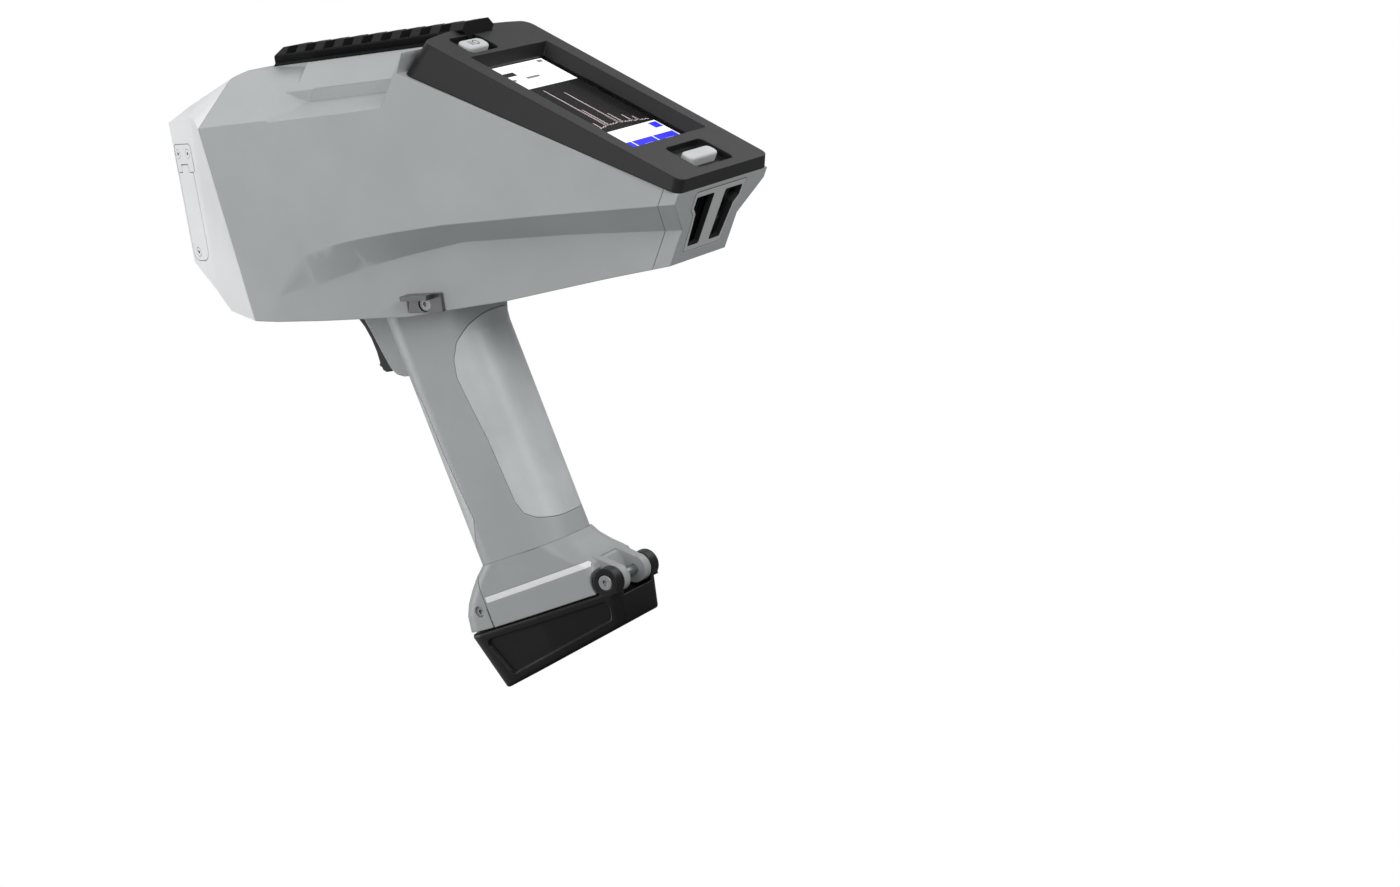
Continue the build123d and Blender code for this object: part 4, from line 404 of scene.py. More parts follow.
@dataclass(frozen=True)
class SoftTouch(Finish):
    """Rubbery overmould with a fine pattern of raised dots.

    Args:
        name: Finish name.
        colour: Linear base colour.
        roughness: Middle roughness.
        pitch: Distance between dots in millimetres.
        height: Height of the dots in millimetres.
        sheen: Sheen weight.
        edge: Radius of the edges in millimetres.
        cloud: Cycles of the colour drift in a millimetre.
        tones: Gain of the darkest and the lightest tone.
        scatter: How far the dots stray from their grid, from 0 to 1.
        dot: Distances from a dot's middle between which it falls off.
        spread: Share of the fine texture in the height and in the roughness.
        offset: What is taken off the roughness for it.
    """

    name: str
    colour: Colour
    roughness: float = 0.62
    pitch: float = 0.9
    height: float = 0.05
    sheen: float = 0.12
    edge: float = 0.5
    cloud: float = 0.05
    tones: tuple[float, float] = (0.92, 1.05)
    scatter: float = 0.55
    dot: tuple[float, float] = (0.1, 0.55)
    spread: tuple[float, float] = (0.35, 0.1)
    offset: float = 0.05

    def build(self) -> bpy.types.Material:
        """Builds the material: drifting tone, fine roughness and raised dots.

        Returns:
            The material.
        """
        graph = self.graph()
        where = graph.coords()
        dots = {"Vector": where, "Scale": 1.0 / self.pitch, "Randomness": self.scatter}
        cells = graph.add("ShaderNodeTexVoronoi", dots, out="Distance")
        fine = graph.noise(where, 2.2, 3.0, 0.6)
        drift = graph.noise(where, self.cloud, 3.0)
        dark, light = (tone(self.colour, gain) for gain in self.tones)
        base = graph.mix(drift.ramp(*DRIFT_RANGE), dark, light)
        raised, dull = self.spread
        height = (1.0 - cells.ramp(*self.dot)) + fine * raised
        normal = graph.bump(height, self.height, graph.bevel(self.edge))
        rough = (self.roughness - self.offset) + fine * dull
        return graph.surface(
            base_color=base, roughness=rough, normal=normal, sheen_weight=self.sheen
        )


@dataclass(frozen=True)
class Metal(Finish):
    """Machined, brushed or plated metal with fine lines.

    Args:
        name: Finish name.
        colour: Linear base colour.
        roughness: Middle roughness.
        lines: Stretch of the machining lines along X, Y and Z.
        depth: Depth of the lines in millimetres.
        edge: Radius of the edges in millimetres.
        wear: How much lighter the edges are.
        metallic: Metallic value.
        streaks: Cycles of the machining lines in a millimetre.
        smear: Cycles of the handling marks in a millimetre.
        dark: Gain of the darkest tone.
        spread: What lines and marks add to the roughness.
        offset: What is taken off the roughness for them.
    """

    name: str
    colour: Colour
    roughness: float = 0.3
    lines: tuple[float, float, float] = (0.2, 5.0, 5.0)
    depth: float = 0.004
    edge: float = 0.2
    wear: float = 0.25
    metallic: float = 1.0
    streaks: float = 1.6
    smear: float = 0.25
    dark: float = 0.86
    spread: tuple[float, float] = (0.08, 0.08)
    offset: float = 0.06

    def build(self) -> bpy.types.Material:
        """Builds the material: streaked tone and gloss, worn edges and fine lines.

        Returns:
            The material.
        """
        graph = self.graph()
        streak = graph.noise(graph.coords(self.lines), self.streaks, 3.0, 0.6)
        smudge = graph.noise(graph.coords(), self.smear, 4.0, 0.6)
        edge = graph.edge(self.edge)
        base = graph.mix(streak.ramp(0.25, 0.75), tone(self.colour, self.dark), self.colour)
        base = graph.mix(edge * self.wear, base, tone(self.colour, *POLISHED))
        cut, marks = self.spread
        rough = (self.roughness - self.offset) + streak * cut + smudge * marks
        normal = graph.bump(streak, self.depth, graph.bevel(self.edge))
        return graph.surface(
            base_color=base, roughness=rough, metallic=self.metallic, normal=normal
        )


@dataclass(frozen=True)
class Clear(Finish):
    """Clear or smoked plastic and glass.

    Args:
        name: Finish name.
        colour: Linear base colour.
        alpha: How solid it looks.
        roughness: Least roughness.
        smear: Cycles of the finger marks in a millimetre.
        spread: What the finger marks add to the roughness.
    """

    name: str
    colour: Colour
    alpha: float = 0.12
    roughness: float = 0.06
    smear: float = 0.09
    spread: float = 0.08

    def build(self) -> bpy.types.Material:
        """Builds the material: a smooth clear skin with finger marks.

        Returns:
            The material.
        """
        graph = self.graph()
        smear = graph.noise(graph.coords(), self.smear, 4.0, 0.65)
        rough = self.roughness + smear.ramp(0.45, 0.75) * self.spread
        return graph.surface(base_color=self.colour, roughness=rough, alpha=self.alpha)


@dataclass(frozen=True)
class LightGuide(Finish):
    """Milky strip that spreads a signal lamp's light, with fine vertical ribs inside.

    Args:
        name: Finish name.
        colour: Linear base colour.
        rib: Pitch of the ribs in millimetres.
        cloud: Cycles of the milky cloud in a millimetre.
        dark: Gain of the darkest tone.
        edge: Radius of the edges in millimetres.
        depth: Depth of the ribs in millimetres.
        roughness: Least roughness.
        spread: Share of the ribs and of the cloud in the tone, and of the cloud in the roughness.
        coat: Coat weight.
    """

    name: str
    colour: Colour
    rib: float = 1.6
    cloud: float = 0.25
    dark: float = 0.82
    edge: float = 0.3
    depth: float = 0.004
    roughness: float = 0.16
    spread: tuple[float, float, float] = (0.12, 0.3, 0.1)
    coat: float = 0.5

    def build(self) -> bpy.types.Material:
        """Builds the material: ribs and cloud under a thin coat.

        Returns:
            The material.
        """
        graph = self.graph()
        where = graph.coords()
        ribs = {"Vector": where, "Scale": WAVE_CYCLES / self.rib, "Distortion": 0.0}
        wave = graph.add("ShaderNodeTexWave", ribs, out="Fac")
        cloud = graph.noise(where, self.cloud, 3.0)
        ribbed, cloudy, dull = self.spread
        share = wave.ramp(0.2, 0.8) * ribbed + cloud * cloudy
        base = graph.mix(share, self.colour, tone(self.colour, self.dark))
        rough = self.roughness + cloud * dull
        normal = graph.bump(wave, self.depth, graph.bevel(self.edge))
        return graph.surface(
            base_color=base, roughness=rough, normal=normal, coat_weight=self.coat
        )


@dataclass(frozen=True)
class Board(Finish):
    """Printed circuit board with fine tracks under its mask.

    Args:
        name: Finish name.
        mask: Linear colour of the mask.
        track: Linear colour over the tracks.
        height: Height of the tracks in millimetres.
        roughness: Least roughness.
        spread: What the noise adds to the roughness.
    """

    name: str = "circuit_mask"
    mask: Colour = srgb(18, 74, 44)
    track: Colour = srgb(44, 116, 70)
    height: float = 0.03
    roughness: float = 0.34
    spread: float = 0.1

    def build(self) -> bpy.types.Material:
        """Builds the material: tracks that stand out of the mask.

        Returns:
            The material.
        """
        graph = self.graph()
        where = graph.coords()
        layout = {"Vector": where, "Scale": 0.8, "Mortar Size": 0.03, "Bias": 0.0}
        tracks = graph.add("ShaderNodeTexBrick", layout, out="Fac")
        base = graph.mix(tracks, self.mask, self.track)
        rough = self.roughness + graph.noise(where, 0.6) * self.spread
        normal = graph.bump(tracks, self.height)
        return graph.surface(base_color=base, roughness=rough, normal=normal)


@dataclass(frozen=True)
class Lit(Finish):
    """A lit area of the display.

    Args:
        name: Finish name.
        colour: Linear colour.
        strength: Emission strength.
        dark: Gain of the darkest tone.
        ground: Linear colour of the panel behind the light.
        roughness: Roughness of the panel.
        shine: Specular level of the panel.
    """

    name: str
    colour: Colour
    strength: float = 1.35
    dark: float = 0.94
    ground: Colour = (0.01, 0.01, 0.01)
    roughness: float = 0.4
    shine: float = 0.05

    def build(self) -> bpy.types.Material:
        """Builds the material: an even glow on a dull dark ground.

        Returns:
            The material.
        """
        graph = self.graph()
        cells = graph.noise(graph.coords(), 0.04, 2.0)
        glow = graph.mix(cells.ramp(0.35, 0.65), tone(self.colour, self.dark), self.colour)
        return graph.surface(
            base_color=self.ground, roughness=self.roughness, specular_ior_level=self.shine,
            emission_color=glow, emission_strength=self.strength,
        )


class Finishes(Enum):
    """Every finish of the analyser."""

    BODY = MouldedPlastic("body_grey", srgb(176, 181, 181))
    # Paler than the body grey: partly a paler plastic, partly painted light standing for the
    # strong front-left light on the nose.
    NOSE = MouldedPlastic("nose_light_grey", srgb(236, 238, 239), roughness=0.42, edge=0.25)
    BLACK = MouldedPlastic("satin_black", srgb(40, 40, 41), roughness=0.46, wear=0.22)
    DOOR = MouldedPlastic(
        "door_black", srgb(20, 20, 21), roughness=0.36, wear=0.35, edge=0.9, shine=0.3
    )
    FOOT = MouldedPlastic("foot_grey", srgb(164, 168, 168), roughness=0.36, depth=0.008)
    GRIP = MouldedPlastic("grip_grey", srgb(170, 175, 175), roughness=0.34)
    RUBBER = SoftTouch("grip_overmould", srgb(200, 205, 205), roughness=0.36, height=0.015)
    KEY = SoftTouch("key_silicone", srgb(208, 211, 212), pitch=0.5, height=0.01)
    SEAL = SoftTouch("seal_rubber", srgb(24, 24, 25), pitch=0.6, height=0.02)
    RAIL = MouldedPlastic(
        "rail_anodised", srgb(18, 18, 19), roughness=0.5, grain=0.5, depth=0.01, edge=0.35,
        wear=0.3, shine=0.15,
    )
    STEEL = Metal("steel_plate", srgb(176, 178, 180), roughness=0.32)
    SCREW = Metal("screw_steel", srgb(172, 174, 176), roughness=0.38, lines=(3.0, 3.0, 3.0))
    DARK = Metal("blackened_steel", srgb(62, 62, 64), roughness=0.36, lines=(3.0, 3.0, 3.0))
    # Chrome trim drawn as a near-white non-metal: its whiteness is painted reflection, not a
    # metal that reflects.
    BRIGHT = Metal(
        "bright_trim", srgb(250, 251, 252), lines=(0.05, 4.0, 4.0), depth=0.001, wear=0.0,
        metallic=0.0,
    )
    ANCHOR = Metal("anchor_steel", srgb(138, 138, 140))
    CAST = Metal(
        "cast_aluminium", srgb(176, 178, 180), roughness=0.5, lines=(1.0, 1.0, 1.0), depth=0.02
    )
    FINS = Metal(
        "fin_anodised", srgb(40, 40, 42), roughness=0.46, lines=(4.0, 4.0, 0.3), metallic=0.7
    )
    BRASS = Metal("turned_brass", srgb(206, 172, 98), roughness=0.28)
    GLASS = Clear("cover_glass", srgb(14, 15, 17), alpha=0.05)
    FILM = Clear("window_film", srgb(206, 168, 104), alpha=0.75, roughness=0.16)
    LENS = LightGuide("light_guide", srgb(178, 182, 183))
    BOARD = Board()
    CASE = MouldedPlastic("battery_case", srgb(46, 47, 50), roughness=0.4)
    POTTING = MouldedPlastic(
        "potting_black", srgb(30, 30, 32), roughness=0.3, grain=2.0, depth=0.05
    )
    PANEL_OFF = MouldedPlastic("display_frame", srgb(22, 23, 25), roughness=0.25, depth=0.002)
    BEZEL = MouldedPlastic("bezel_black", srgb(30, 30, 31), roughness=0.4, wear=0.22, shine=0.3)
    FRAME = MouldedPlastic("frame_grey", srgb(192, 194, 194), roughness=0.34, edge=0.4)
    # Painted shade for hairline seams and grooves.
    SHADOW = MouldedPlastic(
        "seam_shadow", srgb(118, 120, 122), roughness=0.7, wear=0.0, shine=0.1
    )
    INK = MouldedPlastic("printed_ink", srgb(70, 72, 74), roughness=0.5)
    SCREEN_WHITE = Lit("screen_white", srgb(246, 247, 249))
    SCREEN_DARK = Lit("screen_dark", srgb(12, 12, 14))
    SCREEN_GREY = Lit("screen_grey", srgb(120, 122, 126))
    SCREEN_INK = Lit("screen_ink", srgb(34, 35, 38))
    SCREEN_BLUE = Lit("screen_blue", srgb(52, 52, 246))
    SCREEN_PALE = Lit("screen_pale", srgb(206, 208, 250))
    SCREEN_GRID = Lit("screen_grid", srgb(44, 46, 50))
    SCREEN_TRACE = Lit("screen_trace", srgb(236, 214, 216))

    @property
    def material(self) -> bpy.types.Material:
        """The finish's material."""
        return self.value.material()


class ScreenColour(Enum):
    """Colours of the screen picture, in the order of its material slots."""

    WHITE = 0
    DARK = 1
    GREY = 2
    INK = 3
    BLUE = 4
    PALE = 5
    GRID = 6
    TRACE = 7

    @property
    def finish(self) -> Finishes:
        """The lit finish of the colour."""
        return Finishes["SCREEN_" + self.name]


# ------------------------------------------------------------------------------- geometry nodes
class GeoTree:
    """A geometry node tree made in code, run on an object and turned into a plain mesh."""

    def __init__(self, name: str) -> None:
        """Makes the tree with a geometry input and output.

        Args:
            name: Name of the tree.
        """
        self.tree = bpy.data.node_groups.new(name, "GeometryNodeTree")
        for way in ("INPUT", "OUTPUT"):
            self.tree.interface.new_socket(
                "Geometry", in_out=way, socket_type="NodeSocketGeometry"
            )
        self.source = self.tree.nodes.new("NodeGroupInput")
        self.sink = self.tree.nodes.new("NodeGroupOutput")
        self.names: dict[str, str] = {}

    def value(self, name: str, kind: str = "NodeSocketFloat") -> bpy.types.NodeSocket:
        """Adds a named input.

        Args:
            name: Name of the input.
            kind: Socket type.

        Returns:
            The input's socket inside the tree.
        """
        item = self.tree.interface.new_socket(name, in_out="INPUT", socket_type=kind)
        self.names[name] = item.identifier
        return self.source.outputs[name]

    def node(
        self, kind: str, inputs: dict[str, object] | None = None, **settings: object
    ) -> bpy.types.Node:
        """Adds a node, sets its properties and fills its inputs.

        Args:
            kind: Node type.
            inputs: Values, or sockets to link, by name.
            **settings: Node properties.

        Returns:
            The node.
        """
        node = self.tree.nodes.new(kind)
        for key, value in settings.items():
            setattr(node, key, value)
        for key, value in (inputs or {}).items():
            if isinstance(value, bpy.types.NodeSocket):
                self.tree.links.new(value, node.inputs[key])
            else:
                node.inputs[key].default_value = value
        return node

    def end(self, geometry: bpy.types.NodeSocket, material: bpy.types.Material) -> None:
        """Realises the instances, sets the material and ends the tree.

        Args:
            geometry: What the tree has made.
            material: Its material.
        """
        real = self.node("GeometryNodeRealizeInstances", {"Geometry": geometry})
        painted = self.node(
            "GeometryNodeSetMaterial", {"Geometry": real.outputs[0], "Material": material}
        )
        self.tree.links.new(painted.outputs[0], self.sink.inputs[0])

    def run(self, name: str, settings: dict[str, object]) -> bpy.types.Object:
        """Runs the tree on an empty mesh and returns the result as a plain mesh object.

        Args:
            name: Name of the new object.
            settings: Values of the named inputs.

        Returns:
            The object, with no modifier left on it.
        """
        holder = placed(name, bpy.data.meshes.new(name + "_seed"))
        modifier = holder.modifiers.new("build", "NODES")
        modifier.node_group = self.tree
        for key, value in settings.items():
            modifier[self.names[key]] = value
        mesh = plain_mesh(holder)
        holder.modifiers.remove(modifier)
        holder.data = mesh
        mesh.name = name
        return holder


MERGE_DISTANCE = 0.000002
SHARP_DEGREES = 28.0


def smoothing_tree() -> bpy.types.NodeTree:
    """Tree for CAD nodes: joins loose triangles and shades smooth except over sharp edges.

    Returns:
        The tree, for a modifier that stays on the node.
    """
    made = GeoTree("smooth_by_angle")
    joined = made.node(
        "GeometryNodeMergeByDistance",
        {"Geometry": made.source.outputs[0], "Distance": MERGE_DISTANCE},
    )
    soft = made.node(
        "GeometryNodeSetShadeSmooth", {"Geometry": joined.outputs[0], "Shade Smooth": True}
    )
    angle = made.node("GeometryNodeInputMeshEdgeAngle")
    flat = made.node(
        "FunctionNodeCompare",
        {"A": angle.outputs["Unsigned Angle"], "B": math.radians(SHARP_DEGREES)},
        data_type="FLOAT", operation="LESS_THAN",
    )
    edges = made.node(
        "GeometryNodeSetShadeSmooth",
        {"Geometry": soft.outputs[0], "Shade Smooth": flat.outputs[0]}, domain="EDGE",
    )
    made.tree.links.new(edges.outputs[0], made.sink.inputs[0])
    return made.tree


# ------------------------------------------------------------------------------- mesh helpers
def placed(name: str, data: bpy.types.ID) -> bpy.types.Object:
    """Makes an object and links it to the scene.

    Args:
        name: Object name.
        data: Its mesh, lamp, camera or text.

    Returns:
        The object, at the origin.
    """
    made = bpy.data.objects.new(name, data)
    bpy.context.scene.collection.objects.link(made)
    return made


def plain_mesh(source: bpy.types.Object) -> bpy.types.Mesh:
    """A new mesh of an object as its modifiers leave it."""
    graph = bpy.context.evaluated_depsgraph_get()
    return bpy.data.meshes.new_from_object(source.evaluated_get(graph))


def new_piece(
    name: str, mesh: bmesh.types.BMesh, finishes: Iterable[Finishes], matrix: Matrix
) -> bpy.types.Object:
    """Makes an object from a bmesh and lets it ride on the body.

    Args:
        name: Object name.
        mesh: The bmesh, which is freed.
        finishes: Finishes in the order of the mesh's material indices.
        matrix: From the bmesh's units to standing metres.

    Returns:
        The object.
    """
    bmesh.ops.transform(mesh, matrix=matrix, verts=mesh.verts)
    bmesh.ops.recalc_face_normals(mesh, faces=mesh.faces)
    data = bpy.data.meshes.new(name)
    mesh.to_mesh(data)
    mesh.free()
    for finish in finishes:
        data.materials.append(finish.material)
    made = placed(name, data)
    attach(made, BODY)
    return made


def add_ribbon(
    mesh: bmesh.types.BMesh, spots: Sequence[Vector], width: float, index: int = 0
) -> None:
    """Adds a flat strip of even width along a line of points in the XY plane.

    Args:
        mesh: The bmesh.
        spots: Points of the strip's middle line.
        width: Width of the strip.
        index: Material index of its faces.
    """
    last = len(spots) - 1
    rungs = []
    for number, spot in enumerate(spots):
        run = spots[min(number + 1, last)] - spots[max(number - 1, 0)]
        side = Vector((-run.y, run.x, 0.0)).normalized() * width / 2
        rungs.append((mesh.verts.new(spot - side), mesh.verts.new(spot + side)))
    for one, two in zip(rungs, rungs[1:]):
        face = mesh.faces.new([one[0], two[0], two[1], one[1]])
        face.material_index = index


def add_quad(mesh: bmesh.types.BMesh, corners: Sequence[Sequence[float]], index: int = 0) -> None:
    """Adds one face with its own corners to a bmesh."""
    face = mesh.faces.new([mesh.verts.new(corner) for corner in corners])
    face.material_index = index


def dress(tree: bpy.types.NodeTree, finish: Finishes, *names: str) -> None:
    """Gives CAD nodes a finish and smooth shading.

    Args:
        tree: The smoothing tree.
        finish: The finish.
        *names: CAD nodes.
    """
    for name in names:
        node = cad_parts[name]
        node.data.materials.clear()
        node.data.materials.append(finish.material)
        modifier = node.modifiers.new("shading", "NODES")
        modifier.node_group = tree
        weighted = node.modifiers.new("weighted", "WEIGHTED_NORMAL")
        weighted.keep_sharp = True


def lifted(name: str, body: str = BODY, lift: Vector | None = None) -> bpy.types.Object:
    """Copies a dressed CAD node, as it is or a hair proud of the wall that it is let into.

    Args:
        name: CAD node, already dressed.
        body: Body that carries it.
        lift: Shift in metres, or None to stay in place.

    Returns:
        The copy, which replaces the node.
    """
    data = plain_mesh(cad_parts[name])
    data.name = name + "_flush"
    if lift:
        data.transform(Matrix.Translation(lift))
    made = placed(data.name, data)
    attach(made, body)
    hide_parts(name)
    return made


# ------------------------------------------------------------------------------- sub-assemblies
@dataclass
class Section:
    """A sub-assembly: which CAD nodes take which finish, and the pieces it adds.

    Args:
        tree: The smoothing tree for CAD nodes.
        nodes: CAD nodes by finish.
    """

    tree: bpy.types.NodeTree
    nodes: dict[Finishes, tuple[str, ...]] = field(default_factory=dict)

    def build(self) -> list[bpy.types.Object]:
        """Adds the section's own pieces."""
        return []

    def apply(self) -> int:
        """Dresses the CAD nodes, builds the section's own pieces and reports them all.

        Returns:
            How many pieces the section adds.
        """
        title = type(self).__name__
        for finish, names in self.nodes.items():
            dress(self.tree, finish, *names)
            LOG.info("%s: %s in %s", title, ", ".join(names), finish.value.name)
        made = self.build()
        for piece in made:
            LOG.info("%s: %s, %d faces", title, piece.name, len(piece.data.polygons))
        return len(made)


@dataclass
class MainBody(Section):
    """Shells, nose cap, rear cap, lens strips and lanyard anchors.

    Args:
        cheek_origin: Design point on the left cheek, at the nose cap's front edge.
        cheek_along: Design direction along the cheek, to the rear.
        cheek_out: Design direction out of the cheek.
        plate_edges: Hinge plate's front, rear, lower and upper edge on the cheek.
        plate_corner: Radius of the plate's upper corners.
        corner_steps: Steps of the seam round a corner.
        seam_width: Width of the seam's strip of painted shade.
        seam_lift: Height of the seam over the cheek.
        plate_lift: Height of the door and its plate over their seats.
        screw_lift: Height of their screws over their seats.
    """

    nodes: dict[Finishes, tuple[str, ...]] = field(default_factory=lambda: {
        Finishes.BODY: ("left_shell", "right_shell", "rear_cap"),
        Finishes.NOSE: ("nose_cap", "filter_door", "filter_hinge_plate"),
        Finishes.STEEL: ("nose_plate", "filter_hinge_pin"),
        Finishes.DARK: ("window_ring",),
        Finishes.FILM: ("window_film",),
        Finishes.SCREW: (
            "nose_screws", "shell_screws", "anchor_screws", "filter_plate_screws",
            "filter_door_screw",
        ),
        Finishes.LENS: ("left_indicator_lens", "right_indicator_lens"),
        Finishes.ANCHOR: ("lanyard_anchors",),
    })
    cheek_origin: tuple[float, float, float] = (-62.5, -20.0, 0.0)
    cheek_along: tuple[float, float, float] = (0.924872, -0.380277, 0.0)
    cheek_out: tuple[float, float, float] = (-0.380277, -0.924872, 0.0)
    plate_edges: tuple[float, float, float, float] = (0.8, 16.5, -43.3, -31.4)
    plate_corner: float = 2.0
    corner_steps: int = 8
    seam_width: float = 0.32
    seam_lift: float = 0.03
    plate_lift: float = 0.02
    screw_lift: float = 0.12

    def seam(self) -> bpy.types.Object:
        """Dark strip of painted shade round the hinge plate, standing for the shade in its
        hairline groove, open where the door's shoulders meet it.

        Returns:
            The strip of painted shade.
        """
        left, right, low, high = self.plate_edges
        radius = self.plate_corner
        spots = [Vector((left, low, 0.0))]
        for x, start in ((left + radius, 180.0), (right - radius, 90.0)):
            middle = Vector((x, high - radius, 0.0))
            for step in range(self.corner_steps + 1):
                turn = math.radians(start - step * 90.0 / self.corner_steps)
                spots.append(middle + Vector((math.cos(turn), math.sin(turn), 0.0)) * radius)
        spots.append(Vector((right, low, 0.0)))
        mesh = bmesh.new()
        add_ribbon(mesh, spots, self.seam_width)
        matrix = DESIGN.place(self.cheek_origin, self.cheek_along, self.cheek_out)
        matrix = matrix @ Matrix.Translation((0.0, 0.0, self.seam_lift))
        return new_piece("hinge_plate_seam", mesh, [Finishes.SHADOW], matrix)

    def build(self) -> list[bpy.types.Object]:
        """Sets the filter door, its hinge plate and their screws flush, and draws the seam's
        painted shade.

        Returns:
            The pieces.
        """
        out = DESIGN.turn(self.cheek_out).normalized() * MM
        plate, screw = out * self.plate_lift, out * self.screw_lift
        return [
            lifted("filter_hinge_plate", lift=plate),
            lifted("filter_plate_screws", lift=screw),
            lifted("filter_door", "filter_door", plate),
            lifted("filter_door_screw", "filter_door", screw),
            self.seam(),
        ]


@dataclass
class RearEnd(Section):
    """Vent frame, heat sink and fan.

    Args:
        face_limit: Least share of a face's normal along the deck on the frame's grey faces; the
            other faces take black as painted shade.
    """

    nodes: dict[Finishes, tuple[str, ...]] = field(default_factory=lambda: {
        Finishes.FRAME: ("vent_frame",),
        Finishes.BLACK: ("fan_housing", "fan_rotor"),
        Finishes.FINS: ("heat_sink",),
    })
    face_limit: float = 0.7

    def build(self) -> list[bpy.types.Object]:
        """Gives the vent frame black walls in its windows and round its edge, as painted shade in
        the windows and in the gap round the frame.

        Returns:
            The vent frame.
        """
        made = lifted("vent_frame")
        # Black as painted shade on the frame's side walls, in its windows and in the gap round
        # it.
        made.data.materials.append(Finishes.BLACK.material)
        axis = DESIGN.turn(DECK_ALONG)
        for face in made.data.polygons:
            if abs(face.normal.dot(axis)) < self.face_limit:
                face.material_index = 1
        return [made]


@dataclass(frozen=True)
class ScreenArea:
    """A plain rectangle of the screen picture, in millimetres from its upper left corner.

    Args:
        left: Left edge.
        top: Upper edge.
        right: Right edge.
        bottom: Lower edge.
        colour: Its colour.
    """

    left: float
    top: float
    right: float
    bottom: float
    colour: ScreenColour


@dataclass(frozen=True)
class SpectrumLine:
    """One line of the generic spectrum.

    Args:
        place: Place along the plot from 0 to 1.
        width: Width as a share of the plot.
        height: Height as a share of the plot.
    """

    place: float
    width: float
    height: float

    def value(self, share: float) -> float:
        """Height of the line at a place of the plot."""
        return self.height * math.exp(-((share - self.place) / self.width) ** 2)


